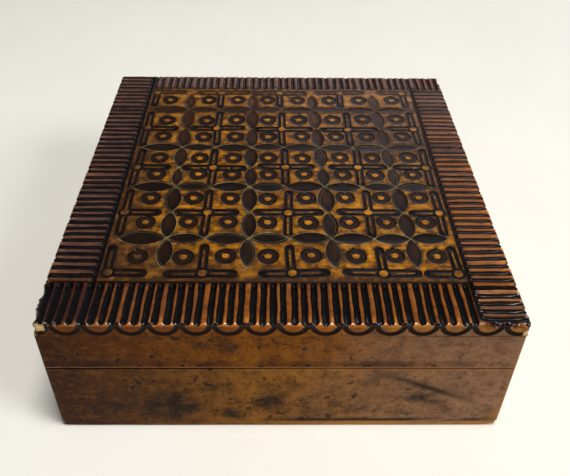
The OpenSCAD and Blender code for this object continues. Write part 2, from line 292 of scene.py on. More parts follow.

# Colours of the lid: amber ground, ridges of the border, half rings on the edge, soot. The mauve ridge is
# partly a painted sheen and the bright ridge painted light from the right. The half rings are darker at the
# left with painted shade and greyer at the right with a painted sheen
AMBER_DARK = "#96580C"
AMBER_LIGHT = "#E0961E"
RIDGE_ORANGE = "#B86A1C"
RIDGE_MAUVE_SHEEN = "#74504A"
RIDGE_PAINTED_LIGHT = "#D08A4A"
SCALLOP_TONES = ("#7A3C06", "#A25A0A", "#9E662F")
SOOT = "#3A291E"

# Brown stain of the sides, from left to right, and the lid's warmer share of it. It is darker at the left
# with painted shade and greyer at the right with a painted sheen
WALL_LEFT_SHADED = "#40200E"
WALL_MIDDLE = "#9C6622"
WALL_RIGHT_SHEEN = "#A0785A"
WALL_DEEP = "#40210B"
WALL_LINE = "#341B0A"
WALL_CALM_SHEEN = "#866248"
LID_WARMTH = "#E4CC7C"
SMUDGE_TONE = "#161112"

# Eyes in the figure of the walls: spacing of their cells, share of cells without one, and the distances to
# one side between which the mark grows plain, so that the first two kinds are crescents and the last whole
# spots. Each has a light lip, which is a painted highlight, and a dark middle: where it starts, is full,
# fades and ends, colour, strength.
EYES = ((5.2, 0.8, -0.02, 0.2), (7.6, 0.78, -0.02, 0.3), (3.4, 0.92, -1.0, -0.5))
EYE_SHAKE = (1.3, 3.0, 0.5, EVEN)
EYE_SHAKEN = 1.8
EYE_PARTS = ((0.22, 0.26, 0.28, 0.33, "#8A6244", 0.16), (0.0, 0.08, 0.19, 0.26, "#1C110C", 0.85))

# Smudges on the walls: place along the wall and up, reach along and up, strength
SMUDGES = (
    (-34.0, 11.0, 17.0, 15.0, 1.0),
    (-50.0, 12.0, 14.0, 12.0, 0.5),
    (-19.0, 22.0, 9.0, 6.0, 0.9),
    (-3.0, 15.0, 10.0, 10.0, 1.0),
    (-15.0, 7.0, 8.0, 6.0, 0.9),
    (45.0, 16.0, 11.0, 8.0, 0.9),
    (-18.0, 41.0, 12.0, 7.0, 0.7),
    (-55.0, 33.0, 14.0, 3.0, 0.5),
    (16.0, 9.0, 14.0, 8.0, 0.5),
)

# Slanting streak on the base, from one place along and up to another, and its reach along and up
STREAK = (30.0, 28.0, 60.0, 13.0)
STREAK_REACH = (23, 16)

# Photograph's frame in pixels, and the camera that fits the box's corners in it
PHOTO_W, PHOTO_H = 570, 476
FOCAL_PX = 663.1
AXIS_ROW_PX = 170
CAMERA_AT = (-1.94, -190.12, 194.84)
CAMERA_PITCH = 37.17
CAMERA_YAW = 1.02
CAMERA_ROLL = 0.87
SENSOR = 36.0

# Floor's half width, and the lamps: name, place, aim, size, power, colour, in metres and watts
FLOOR_HALF = 3.0
LAMPS = (
    ("window", (0.95, -0.45, 0.85), (0, 0, 0.03), 0.6, 8.6, "#F8FBFF"),
    ("ceiling", (0.12, -0.2, 1.2), (0, 0, 0.03), 0.4, 10.4, "#FFFEFA"),
    ("back_sheen", (0.35, 1.15, 0.55), (0, 0, 0.04), 0.8, 1.6, "#F0F2FF"),
)


def paint(code):
    """Turns an sRGB hex colour into linear RGBA."""
    parts = [int(code[k:k + 2], 16) / 255 for k in (1, 3, 5)]
    return [p / 12.92 if p <= 0.04045 else ((p + 0.055) / 1.055) ** 2.4 for p in parts] + [1.0]


def add(tree, kind, inputs=None, **settings):
    """Adds a shader node. An input that is a node or a socket is linked, any other value is set."""
    node = tree.nodes.new("ShaderNode" + kind)
    for name, value in settings.items():
        setattr(node, name, value)
    for key, value in (inputs or {}).items():
        if isinstance(key, int):
            socket = node.inputs[key]
        else:
            socket = next(s for s in node.inputs if s.enabled and s.name == key)
        if isinstance(value, bpy.types.Node):
            value = next(s for s in value.outputs if s.enabled)
        if isinstance(value, bpy.types.NodeSocket):
            tree.links.new(value, socket)
        else:
            socket.default_value = value
    return node


def new_finish(name):
    """Starts a material and gives its emptied node tree."""
    material = bpy.data.materials.new(name)
    material.use_nodes = True
    tree = material.node_tree
    tree.nodes.clear()
    return material, tree


def set_out(name, data):
    """Puts a new object in the scene."""
    thing = bpy.data.objects.new(name, data)
    bpy.context.scene.collection.objects.link(thing)
    return thing


def ease(value, start, end):
    """Goes smoothly from 0 at start to 1 at end."""
    share = np.clip((value - start) / (end - start), 0, 1)
    return share * share * (3 - 2 * share)


# Camera, floor and light


def make_camera():
    """The photograph's own view of the box."""
    data = bpy.data.cameras.new("camera")
    data.sensor_width = SENSOR
    data.lens = SENSOR * FOCAL_PX / PHOTO_W
    data.shift_y = (AXIS_ROW_PX - PHOTO_H / 2) / PHOTO_W
    pitch, yaw, roll = (math.radians(a) for a in (CAMERA_PITCH, CAMERA_YAW, CAMERA_ROLL))
    ahead = Vector((math.sin(yaw) * math.cos(pitch), math.cos(yaw) * math.cos(pitch), -math.sin(pitch)))
    level = Vector((math.cos(yaw), -math.sin(yaw), 0))
    above = level.cross(ahead)
    right = level * math.cos(roll) + above * math.sin(roll)
    up = above * math.cos(roll) - level * math.sin(roll)
    turned = Matrix((right, up, -ahead)).transposed().to_4x4()
    camera = set_out("camera", data)
    camera.matrix_world = Matrix.Translation(Vector(CAMERA_AT) * MM) @ turned
    bpy.context.scene.camera = camera


def make_floor():
    """Pale matt table top, faintly uneven in tone."""
    material, tree = new_finish("matt_painted_board")
    cloud, = patterns(tree, add(tree, "TexCoord").outputs["Object"], FLOOR_CLOUD)
    tone = cover(tree, "#F1EDE4", "#F8F5EC", cloud)
    surface = add(tree, "BsdfPrincipled", {"Base Color": tone, "Roughness": 0.9, "Specular IOR Level": 0.1})
    add(tree, "OutputMaterial", {"Surface": surface})
    corners = [(x * FLOOR_HALF, y * FLOOR_HALF, 0) for x, y in ((-1, -1), (1, -1), (1, 1), (-1, 1))]
    mesh = bpy.data.meshes.new("floor")
    mesh.from_pydata(corners, [], [(0, 1, 2, 3)])
    mesh.materials.append(material)
    floor = set_out("floor", mesh)


def make_light():
    """Soft daylight from above and from the right, with a dim even fill all round."""
    scene = bpy.context.scene
    world = bpy.data.worlds.new("pale_studio")
    scene.world = world
    world.use_nodes = True
    tree = world.node_tree
    tree.nodes.clear()
    glow = add(tree, "Background", {"Color": paint("#F2F4F8"), "Strength": 0.1})
    add(tree, "OutputWorld", {"Surface": glow})
    for name, place, aim, size, power, colour in LAMPS:
        data = bpy.data.lights.new(name, "AREA")
        data.shape = "DISK"
        data.size = size
        data.energy = power
        data.color = paint(colour)[:3]
        lamp = set_out(name, data)
        lamp.location = place
        lamp.rotation_mode = "QUATERNION"
        lamp.rotation_quaternion = (Vector(aim) - Vector(place)).to_track_quat("-Z", "Y")
    scene.view_settings.view_transform = "Standard"


# Drawing of the lid's relief, flat and in mm


class Sheet:
    """Points and lines drawn flat, then joined into triangles."""

    def __init__(self):
        self.points = []
        self.edges = []

    def line(self, points, closed=False):
        first = len(self.points)
        last = first + len(points) - 1
        self.dots(points)
        self.edges += [(k, k + 1) for k in range(first, last)]
        if closed:
            self.edges.append((last, first))

    def dots(self, points):
        self.points += [tuple(p) for p in points]

    def triangles(self):
        found = delaunay_2d_cdt([Vector(p) for p in self.points], self.edges, [], 0, CLOSE)
        return np.array([tuple(p) for p in found[0]], dtype=float), [tuple(f) for f in found[2]]


def turn(side, along, inward):
    """Place on the lid of a point along a side (0 front, 1 right, 2 back, 3 left) and in from its edge."""
    x, y = along, inward - HALF
    for _ in range(side):
        x, y = -y, x
    return x, y


def side_view(side, x, y):
    """The other way round: how far along a side, and in from its edge, a place on the lid is."""
    for _ in range(side):
        x, y = y, -x
    return x, y + HALF


def circle(x, y, radius, count):
    """Points evenly round a circle."""
    turns = np.arange(count) * 2 * math.pi / count
    return np.stack([x + radius * np.cos(turns), y + radius * np.sin(turns)], axis=1)


def steps(start, end, pitch):
    """Even steps from start to end, none longer than the pitch."""
    return np.linspace(start, end, max(2, math.ceil(abs(end - start) / pitch) + 1))


def leaning(back, front, y):
    """Place of a leaning column at the given row."""
    share = (NODE_ROWS[0] - y) / (NODE_ROWS[0] - NODE_ROWS[-1])
    return back + (front - back) * share


def perimeter():
    """Start of each side's straight run on the way round the panel, which begins at the front's right end."""
    straight = 2 * (HALF - CORNER_R)
    quarter = CORNER_R * math.pi / 2
    starts = [4 * quarter + 3 * straight] + [k * quarter + (k - 1) * straight for k in (1, 2, 3)]
    return straight, quarter, starts, 4 * (straight + quarter)


def rim_profile():
    """The way down over the worn rim: its length, how steep it is, how far out and down it has come."""
    slope = math.radians(RIM_SLOPE)
    bends = np.cumsum([0, RIM_BEND_L, RIM_SLOPE_L, RIM_ROUND_R * (math.pi / 2 - slope)])
    way = np.linspace(0, bends[-1], 181)
    tilt = np.interp(way, bends, (0, slope, slope, math.pi / 2))
    between = (tilt[1:] + tilt[:-1]) / 2
    out, drop = (np.concatenate([[0], np.cumsum(part(between) * way[1])]) for part in (np.cos, np.sin))
    return way, tilt, out, drop


STRAIGHT, QUARTER, SIDE_STARTS, AROUND = perimeter()
RIM_WAY, RIM_TILT, RIM_OUT, RIM_DROP = rim_profile()
RIM_L = RIM_WAY[-1]
RIM_W = RIM_OUT[-1]
FLAT_HALF = HALF - RIM_W
FLAT_CORNER = CORNER_R - RIM_W
FLAT_RUN = FLAT_HALF - FLAT_CORNER
EDGE_L = RIM_L + PANEL_T - RIM_DROP[-1]


def outline_at(side, along):
    """Way round the outline at a place along a side, also where the outline already turns the corner."""
    past = -along - FLAT_RUN
    if past <= 0:
        return SIDE_STARTS[side] + along + FLAT_HALF - FLAT_CORNER
    return SIDE_STARTS[side] - CORNER_R * math.asin(min(1, past / FLAT_CORNER))


def outline_point(way):
    """Points of the flat top's outline and their outward directions."""
    way = np.clip(np.asarray(way, dtype=float), 0, AROUND)
    x, y, out_x, out_y = (np.zeros_like(way) for _ in range(4))
    for side, start in enumerate(SIDE_STARTS):
        here = (way >= start - QUARTER - 1e-6) & (way <= start + STRAIGHT + 1e-6)
        bend = np.clip((way[here] - start + QUARTER) / CORNER_R, 0, math.pi / 2)
        run = np.clip(way[here] - start, 0, STRAIGHT) - FLAT_RUN
        across, outward = -np.cos(bend), -np.sin(bend)
        px, py = run + FLAT_CORNER * across, -FLAT_RUN + FLAT_CORNER * outward
        for _ in range(side):
            px, py, across, outward = -py, px, -outward, across
        x[here], y[here], out_x[here], out_y[here] = px, py, across, outward
    return x, y, out_x, out_y


# Ribs of the border

Rib = namedtuple("Rib", "side along lean half depth tip tone burn phase")


def lay_ribs(chance):
    """Combs of four grooves, from each strip's own corner to the next strip, as in a pinwheel."""
    ribs = []
    for side in range(4):
        following = (side + 1) % 4
        end = HALF - BORDERS[following] - LINE_WIDTHS[following] / 2
        comb = 0
        while True:
            first = -HALF + RIB_START + comb * COMB_STEP
            places = [first + tooth * TOOTH_PITCH for tooth in range(COMB_TEETH)]
            places = [p for p in places if p + max(RIB_WIDTHS[side]) / 2 < end + RIB_OVERLAP]
            if not places:
                break
            lean = chance.uniform(-COMB_LEAN, COMB_LEAN)
            for place in places:
                tone, width, burn = (
                    np.interp(place, (-HALF, STRIP_MIDDLE, HALF), values[side])
                    for values in (RIDGE_TONES, RIB_WIDTHS, RIB_BURNS)
                )
                tone += chance.uniform(-TONE_SPREAD, TONE_SPREAD)
                ribs.append(Rib(
                    side,
                    place + chance.uniform(-RIB_SHIFT, RIB_SHIFT),
                    lean + chance.uniform(-TOOTH_LEAN, TOOTH_LEAN),
                    width / 2 + chance.uniform(-HALF_SPREAD, HALF_SPREAD),
                    RIB_DEPTH + chance.uniform(*DEPTH_SPREAD),
                    chance.uniform(*RIB_TIPS),
                    1 + min(max(tone, BRIGHTEST_PAINTED_LIGHT), 1),
                    burn,
                    chance.uniform(0, 2 * math.pi),
                ))
            comb += 1
    return ribs


def rib_middle(rib, inward):
    """Wavering middle line of a rib."""
    waver = sum(size * np.sin(inward / length + turns * rib.phase) for size, length, turns in RIB_WAVES)
    return rib.along + rib.lean * (inward - BORDERS[rib.side] / 2) + waver


def rib_half(rib, inward):
    """Half of a rib's width, which swells and shrinks a little along it."""
    size, length, turns = RIB_SWELL
    return rib.half * (1 + size * np.sin(inward / length + turns * rib.phase))


def rib_across(rib, station, inward):
    """Place along its side of one of a rib's long lines."""
    return rib_middle(rib, inward) + station * rib_half(rib, inward)


def rib_hollow(across, half):
    """Rounded cross-section of a rib's groove, from 0 just past its edges to 1 at its bottom."""
    share = np.clip(1.05 - np.abs(across) / half, 0, 1)
    return np.sqrt(share) * np.sqrt(2 - share)


def rim_ways(rib):
    """The long lines of a rib that reach the outline, and the ways round it where they do."""
    for station in RIB_STATIONS:
        along = rib_across(rib, station, RIM_W)
        if along >= -FLAT_HALF + 0.03:
            yield station, outline_at(rib.side, along)


def draw_ribs(sheet, ribs):
    """Draws the ribs' long lines and gives the ways round the outline where they meet it."""
    ways = []
    for rib in ribs:
        inner_end = BORDERS[rib.side] - RIB_STOP + 0.3
        for station, way in rim_ways(rib):
            ways.append(way)
            x, y, _, _ = outline_point([way])
            runs = steps(inner_end, side_view(rib.side, x[0], y[0])[1], LINE_STEP)[:-1]
            line = [turn(rib.side, rib_across(rib, station, v), v) for v in runs]
            sheet.line(line + [(x[0], y[0])])
    return ways


def press_ribs(ribs, x, y, down, burn, tone, past_rim=None):
    """Cuts the ribs into the given points. past_rim is how far down over the rim each point lies."""
    for rib in ribs:
        along, inward = side_view(rib.side, x, y)
        near = (np.abs(along - rib.along) < RIB_REACH) & (inward < BORDERS[rib.side] + 0.5)
        if past_rim is not None:
            near &= past_rim < rib.tip + 1
        inward = np.maximum(inward[near], RIM_W)
        across = np.abs(along[near] - rib_middle(rib, inward))
        half = rib_half(rib, inward)
        end = BORDERS[rib.side] - RIB_STOP
        tinted = inward < end + 0.2
        present = ease(inward, end + 0.25, end - 0.25) * (1 - RIB_SHOALING * ease(inward, RIM_W + 1.5, RIM_W))
        if past_rim is not None:
            way = np.where(inward < RIM_W + 1e-6, past_rim[near], 0)
            present *= np.sqrt(np.clip(1 - (way / rib.tip) ** 2, 0, 1))
            narrow = np.clip((way - rib.tip + RIB_ROUNDING) / RIB_ROUNDING, 0, 1)
            half = half * np.sqrt(np.clip(1 - narrow ** 2, 0.02, 1))
            tinted = way < 1.2
        shoulder = RIB_SHOULDER * ease(across / half, 1.4, 0.95)
        hollow = np.maximum(rib.depth * rib_hollow(across, half), shoulder)
        down[near] = np.maximum(down[near], hollow * present)
        char = rib.burn * ease(across / half, 1.32, 0.8) * ease(present, 0.0, 0.35)
        if rib.side == 0:
            strength, start, full = END_CHAR
            char = np.maximum(char, strength * ease(along[near], start, full) * present)
        burn[near] = np.maximum(burn[near], char)
        spots = np.flatnonzero(near)
        spots = spots[tinted & ((across < TOOTH_PITCH / 2) | (tone[spots] == 0))]
        tone[spots] = rib.tone


# Stamps of the field: each mark has a place and reach, a function that gives the gap to its rim (below 0
# inside), its depth, the width of its walls, its burn, the width of its scorched edge and the radius of its
# clear middle

Mark = namedtuple("Mark", "x y reach gap depth wall burn scorch clear", defaults=(0.2, 0.0))


def frame_marks(sheet):
    """The burnt line inside each ribbed strip. It runs on to the edge of the lid where its strip starts."""
    marks = []
    for side in range(4):
        inward, half = BORDERS[side], LINE_WIDTHS[side] / 2
        last = HALF - BORDERS[(side + 1) % 4]

        def gap(x, y, side=side, inward=inward, half=half, last=last):
            along, depth_in = side_view(side, x, y)
            ends = np.maximum(along - last - half, LINE_START - FLAT_HALF - along)
            return np.maximum(np.abs(depth_in - inward) - half, ends)

        for offset in (-half - 0.2, -half, -half * 0.5, half * 0.5, half, half + 0.2):
            sheet.line([turn(side, a, inward + offset) for a in steps(-FLAT_HALF + 0.25, last + offset, 2.0)])
        marks.append(Mark(0, 0, HALF, gap, LINE_DEPTHS[side], wall=half * 0.6, burn=1.0))
    return marks


def node_marks(sheet, chance):
    """Light discs with a burnt ring, and the arms that run out from them along the columns and rows."""
    marks = []
    last = len(NODE_ROWS) - 1
    for row, y in enumerate(NODE_ROWS):
        for column, back in enumerate(NODE_COLUMNS_BACK):
            x = leaning(back, NODE_COLUMNS_FRONT[column], y) + chance.uniform(-NODE_SHIFT, NODE_SHIFT)
            py = y + chance.uniform(-NODE_SHIFT, NODE_SHIFT)
            arms = []
            for turns, wanted in enumerate((column < last, row > 0, column > 0, row < last)):
                angle = turns * math.pi / 2 + chance.uniform(-ARM_TURN, ARM_TURN)
                length = chance.uniform(*(UPRIGHT_ARMS if turns % 2 else LEVEL_ARMS))
                shift = chance.uniform(-ARM_SHIFT, ARM_SHIFT)
                joined = chance.random() < ARM_JOINED
                if wanted:
                    width = UPRIGHT_ARM_W if turns % 2 else LEVEL_ARM_W
                    arms.append((math.cos(angle), math.sin(angle), length, width, shift, joined))
            marks.append(node_mark(x, py, arms))
            draw_node(sheet, x, py, arms)
    return marks


def node_mark(x, y, arms):
    """The mark of a disc with its arms."""
    def gap(px, py):
        dx, dy = px - x, py - y
        away = np.hypot(dx, dy)
        burnt, light = away - NODE_OUTER, away - NODE_R
        for ex, ey, length, width, shift, joined in arms:
            along = dx * ex + dy * ey
            across = dy * ex - dx * ey - shift
            past = np.maximum(np.maximum(along - (length - width / 2), -along), 0)
            burnt = np.minimum(burnt, np.hypot(past, across) - width / 2)
            ridge_start = 0 if joined else NODE_OUTER - 0.1
            ridge = np.maximum(np.abs(across) - ARM_RIDGE / 2, ridge_start - along)
            light = np.minimum(light, np.maximum(ridge, along - (length - width / 2 - 0.3)))
        return np.maximum(burnt, -light)

    def burnt(px, py):
        """Char, but only brown along the faint back row."""
        fading, start, full = FAINT_ROW
        return 1 - fading * ease(py, start, full)

    reach = max(LEVEL_ARMS + UPRIGHT_ARMS) + LEVEL_ARM_W
    return Mark(x, y, reach, gap, ARM_DEPTH, wall=0.5, burn=burnt, clear=NODE_R)


def draw_node(sheet, x, y, arms):
    """Lines of a disc with its arms, and of the light ridge along each arm."""
    for radius, count in NODE_CIRCLES:
        sheet.line(circle(x, y, radius, count), closed=True)
    bend = np.linspace(-math.pi / 2, math.pi / 2, 9)
    for ex, ey, length, width, shift, _ in arms:
        end = length - width / 2
        runs = list(steps(NODE_OUTER, end, LINE_STEP)[:-1])
        paths = []
        for radius in (width / 2 + 0.2, width / 2, width / 2 - 0.28):
            path = [(a, -radius) for a in runs]
            path += [(end + radius * math.cos(b), radius * math.sin(b)) for b in bend]
            paths.append(path + [(a, radius) for a in reversed(runs)])
        for across in (-ARM_RIDGE / 2 - 0.2, -ARM_RIDGE / 2, 0, ARM_RIDGE / 2, ARM_RIDGE / 2 + 0.2):
            paths.append([(a, across) for a in steps(NODE_R, end - 0.1, LINE_STEP)])
        for path in paths:
            sheet.line([(x + a * ex - (c + shift) * ey, y + a * ey + (c + shift) * ex) for a, c in path])


def ring_marks(sheet, chance):
    """Stamped rings: two burnt grooves with a low ridge between them round a light dot with a short flag."""
    marks = []
    for y, rise in zip(RING_ROWS, RING_RISES):
        for back, front in zip(RING_COLUMNS_BACK, RING_COLUMNS_FRONT):
            x = leaning(back, front, y) + chance.uniform(-RING_SHIFT, RING_SHIFT)
            py = y + rise * x / (2 * HALF) + chance.uniform(-RING_SHIFT, RING_SHIFT)
            lean = chance.uniform(-RING_LEAN, RING_LEAN)
            size = 1 + chance.uniform(-RING_SPREAD, RING_SPREAD)
            marks += ring_mark(x, py, lean, size)
            for radius, count in RING_CIRCLES:
                sheet.line(circle(x, py, radius * size, count), closed=True)
            draw_dot(sheet, x, py, lean, size)
            if chance.random() < NOTCHED:
                marks.append(notch_mark(sheet, x + chance.uniform(*NOTCH_PLACES), py + RING_R * size))
    return marks


def draw_dot(sheet, x, y, lean, size):
    """Lines of a ring's dot, a level oval, and of the flag at its upper left."""
    start, end = np.array(FLAG_START), np.array(FLAG_END)
    along = (end - start) / np.hypot(*(end - start))
    across = np.array([-along[1], along[0]])
    bends = np.linspace(-math.pi / 2, math.pi / 2, 7)
    spin = np.array([[math.cos(lean), -math.sin(lean)], [math.sin(lean), math.cos(lean)]])
    for offset, count in DOT_OVALS:
        oval = circle(0, 0, DOT_R + offset, count) * (DOT_FLATTENING, 1 / DOT_FLATTENING)
        sheet.line([spin @ p * size + (x, y) for p in oval], closed=True)
    for radius in (FLAG_HALF + 0.08, FLAG_HALF - 0.1):
        path = [start - across * radius]
        path += [end + along * radius * math.cos(b) + across * radius * math.sin(b) for b in bends]
        path += [start + across * radius]
        sheet.line([spin @ p * size + (x, y) for p in path])


def notch_mark(sheet, x, y):
    """The small burnt spot where a ring's stamp was first set down."""
    for offset in (0.15, -0.1):
        sheet.line(circle(x, y, NOTCH_R + offset, 14), closed=True)

    def gap(px, py):
        return np.hypot(px - x, py - y) - NOTCH_R

    return Mark(x, y, 2 * NOTCH_R, gap, RING_DEPTH, wall=0.3, burn=1.0)


def ring_mark(x, y, lean, size):
    """The marks of a ring, its floor and its two grooves, all round its dot."""
    flag_l = math.dist(FLAG_START, FLAG_END)
    flag_x, flag_y = ((b - a) / flag_l for a, b in zip(FLAG_START, FLAG_END))

    def dot(px, py):
        dx, dy = (px - x) / size, (py - y) / size
        dx, dy = dx * math.cos(lean) + dy * math.sin(lean), dy * math.cos(lean) - dx * math.sin(lean)
        fx, fy = dx - FLAG_START[0], dy - FLAG_START[1]
        way = np.clip(fx * flag_x + fy * flag_y, 0, flag_l)
        flag = np.hypot(fx - way * flag_x, fy - way * flag_y) - FLAG_HALF
        return np.minimum(np.hypot(dx / DOT_FLATTENING, dy * DOT_FLATTENING) - DOT_R, flag)

    def groove(radius, width):
        def gap(px, py):
            away = np.hypot(px - x, py - y) / size
            return np.maximum(np.abs(away - radius) - width / 2, -dot(px, py))
        return gap

    floor = groove((RING_R + DOT_R) / 2, RING_R - DOT_R)
    marks = [Mark(x, y, RING_REACH, floor, RING_FLOOR_DEPTH, wall=0.25, burn=0.56, clear=DOT_R)]
    for radius, width in RING_GROOVES:
        marks.append(Mark(x, y, RING_REACH, groove(radius, width), RING_DEPTH, wall=0.35, burn=0.92))
    return marks


# Petals and their scratched outlines

Petal = namedtuple("Petal", "x y ex ey half centre radius scribes brown")


def lay_petals(chance):
    """Slim burnt petals in crossing rows, tip to tip, between the rings."""
    rows = sorted(NODE_ROWS + PETAL_ROWS, reverse=True)
    rows[0] -= PETAL_SHORT
    rows[-1] += PETAL_SHORT
    columns = ((NODE_COLUMNS_BACK, NODE_COLUMNS_FRONT), (PETAL_COLUMNS_BACK, PETAL_COLUMNS_FRONT))
    petals = []

    def column_at(index, y):
        back, front = columns[index % 2]
        return leaning(back[index // 2], front[index // 2], y)

    def lay(x0, y0, x1, y1, thinning, brown):
        length = math.hypot(x1 - x0, y1 - y0)
        slender = PETAL_SLENDER * (1 - thinning * max(0, (y0 + y1) / 2 - PETAL_ROWS[2]))
        width = slender * length * chance.uniform(*PETAL_WIDTHS)
        centre = (length ** 2 / 4 - width ** 2) / (2 * width)
        petals.append(Petal(
            (x0 + x1) / 2 + chance.uniform(-PETAL_SHIFT, PETAL_SHIFT),
            (y0 + y1) / 2 + chance.uniform(-PETAL_SHIFT, PETAL_SHIFT),
            (x1 - x0) / length, (y1 - y0) / length,
            length / 2, centre, centre + width, lay_scribes(y0, chance), brown,
        ))

    for y in PETAL_ROWS:
        for k in range(8):
            lay(column_at(k, y), y, column_at(k + 1, y), y, PETAL_THINNING, chance.uniform(*LEVEL_BROWNS))
    for column in (1, 3, 5, 7):
        for y0, y1 in zip(rows, rows[1:]):
            ends = (column_at(column, y0), y0, column_at(column, y1), y1)
            lay(*ends, PETAL_THINNING / 2, chance.uniform(*UPRIGHT_BROWNS))
    return petals


def lay_scribes(y, chance):
    """Scratched lines of a petal: its edge (1 or -1), how far outside it a line runs and how plain it is."""
    row, faint = FAINT_SCRIBES
    plain = faint if y > row else 1.0
    scribes = []
    for bulge in (-1, 1):
        scribes.append((bulge, chance.uniform(*SCRIBE_OFFSETS), plain * chance.choice(SCRIBE_LEVELS)))
        if chance.random() < SECOND_SCRIBE:
            scribes.append((bulge, chance.uniform(*SECOND_OFFSETS), plain * SECOND_LEVEL))
    return scribes


def petal_arc(petal, bulge, offset):
    """Points along one edge of a petal, moved outward by the offset and run a little past the tips."""
    radius = petal.radius + offset
    tip = math.asin(min(1, (petal.half + SCRIBE_PAST) / radius))
    points = []
    for bend in np.linspace(-tip, tip, 13):
        a, c = radius * math.sin(bend), (radius * math.cos(bend) - petal.centre) * bulge
        points.append((petal.x + a * petal.ex - c * petal.ey, petal.y + a * petal.ey + c * petal.ex))
    return points


def petal_view(petal, x, y):
    """How far along and across a petal the given places are."""
    dx, dy = x - petal.x, y - petal.y
    return dx * petal.ex + dy * petal.ey, dy * petal.ex - dx * petal.ey


def petal_marks(sheet, petals):
    """Shallow burnt hollows of the petals, browner in the middle and fainter at the back."""
    marks = []
    for petal in petals:
        def gap(x, y, petal=petal):
            along, across = petal_view(petal, x, y)
            upper = np.hypot(along, across + petal.centre)
            lower = np.hypot(along, across - petal.centre)
            return np.maximum(upper, lower) - petal.radius - PETAL_SPREAD

        def burnt(x, y, petal=petal):
            along, across = petal_view(petal, x, y)
            out = np.hypot(along / petal.half + 0.15, across / (petal.radius - petal.centre))
            fading, start, full = PETAL_FADING
            return PETAL_BURN - petal.brown * ease(out, 1.0, 0.2) - fading * ease(y, start, full)

        marks.append(Mark(petal.x, petal.y, petal.radius, gap, PETAL_DEPTH, wall=0.5, burn=burnt))
        arcs = [(b, o) for b in (-1, 1) for o in (PETAL_SPREAD + 0.2, PETAL_SPREAD, PETAL_SPREAD - 0.3)]
        arcs += [(b, o + side) for b, o, _ in petal.scribes for side in (-SCRIBE_W, 0, SCRIBE_W)]
        for bulge, offset in arcs:
            sheet.line(petal_arc(petal, bulge, offset))
    return marks


def press_scribe(petals, x, y):
    """Pale lines scratched along the edges of each petal, crossing at its tips."""
    scribe = np.zeros_like(x)
    for petal in petals:
        along, across = petal_view(petal, x, y)
        near = (np.abs(along) < petal.half + SCRIBE_PAST) & (np.abs(across) < petal.half)
        for bulge, offset, plain in petal.scribes:
            to_middle = across[near] + bulge * petal.centre
            away = np.abs(np.hypot(along[near], to_middle) - petal.radius - offset)
            line = np.where(to_middle * bulge > 0, plain * np.clip(1 - away / SCRIBE_W, 0, 1), 0)
            scribe[near] = np.maximum(scribe[near], line)
    return scribe


# The panel's relief, pressed and put together


def press(marks, x, y, down, burn, halo):
    """Cuts the marks into the given points, with burnt walls, a scorched edge and a brown halo."""
    for mark in marks:
        near = (np.abs(x - mark.x) < mark.reach) & (np.abs(y - mark.y) < mark.reach)
        gap = mark.gap(x[near], y[near])
        down[near] = np.maximum(down[near], mark.depth * ease(gap, 0.1, -mark.wall))
        strength = mark.burn(x[near], y[near]) if callable(mark.burn) else mark.burn
        burn[near] = np.maximum(burn[near], strength * ease(gap, mark.scorch, -0.12))
        halo[near] = np.maximum(halo[near], ease(gap, HALO, 0))
    for mark in (m for m in marks if m.clear):
        away = np.hypot(x - mark.x, y - mark.y)
        halo *= 1 - HALO_CLEARED * ease(away, mark.clear + 0.3, mark.clear - 0.2)


def uneven(x, y):
    """Slight waves of the planed and sanded face, in mm."""
    return WAVE * (np.sin(x / 7.3 + y / 19) + np.sin(y / 5.1 - x / 23) + np.sin((x + y) / 3.4))


def smoke_at(x, y):
    """How sooty the lid is at the given places."""
    smoke = np.zeros_like(x)
    for sx, sy, reach_x, reach_y, strength in SMOKE:
        smoke += strength * np.exp(-((x - sx) / reach_x) ** 2 - ((y - sy) / reach_y) ** 2)
    return np.clip(smoke, 0, 1)


def scallop_places():
    """Middles of the half rings along a side."""
    count = math.ceil((HALF - SCALLOP_FIRST + SCALLOP_R) / SCALLOP_PITCH)
    return [SCALLOP_FIRST + k * SCALLOP_PITCH for k in range(count)]


def draw_scallops(sheet, side):
    """Half rings of one side on the unrolled edge, cut off where the side ends."""
    low, high = SIDE_STARTS[side] + 0.1, SIDE_STARTS[side] + STRAIGHT - 0.1
    bends = np.linspace(0, math.pi, 17)
    for place in scallop_places():
        middle = outline_at(side, max(place, -FLAT_RUN)) + min(0, place + FLAT_RUN)
        for inset in SCALLOP_INSETS:
            radius = SCALLOP_R - SCALLOP_LINE / 1.2 * inset
            loop = [(middle - radius, SCALLOP_DROP - 0.5)]
            loop += [(middle - radius * math.cos(b), SCALLOP_DROP + radius * math.sin(b)) for b in bends]
            loop += [(middle + radius, SCALLOP_DROP - 0.5)]
            loop = [p for p in loop if low < p[0] < high and p[1] < EDGE_L - 0.08]
            if len(loop) > 1 and all(abs(a[0] - b[0]) < 2.5 for a, b in zip(loop, loop[1:])):
                sheet.line(loop)


def draw_edge(sheet, ways, ribs):
    """Lines of the rim and the side, unrolled: the way round, and the way down from the flat top."""
    rim_rows = RIM_ROWS + (RIM_L, RIM_END)
    rows = list(rim_rows) + list(np.linspace(RIM_END, EDGE_L, 5)[1:])
    sheet.line([(w, 0.0) for w in ways])
    sheet.line([(w, EDGE_L) for w in steps(0, AROUND, RIM_STEP)])
    for w in (0.0, AROUND):
        sheet.line([(w, r) for r in rows])
    for side in range(4):
        for share in CORNER_SHARES[1:]:
            sheet.line([(SIDE_STARTS[side] - QUARTER * (1 - share), r) for r in rows])
        draw_scallops(sheet, side)
    for rib in ribs:
        for _, way in rim_ways(rib):
            sheet.line([(way, r) for r in rim_rows])
    for place, down, half_w, half_h, _ in CHIPS:
        for dw in np.arange(-half_w - 0.4, half_w + 0.41, CHIP_STEP):
            for dh in np.arange(-half_h - 0.3, half_h + 0.31, CHIP_STEP):
                way = SIDE_STARTS[0] + place + dw + FLAT_HALF - FLAT_CORNER
                if way < AROUND - 0.05 and 0.1 < down + dh < EDGE_L - 0.1:
                    sheet.dots([(way, down + dh)])


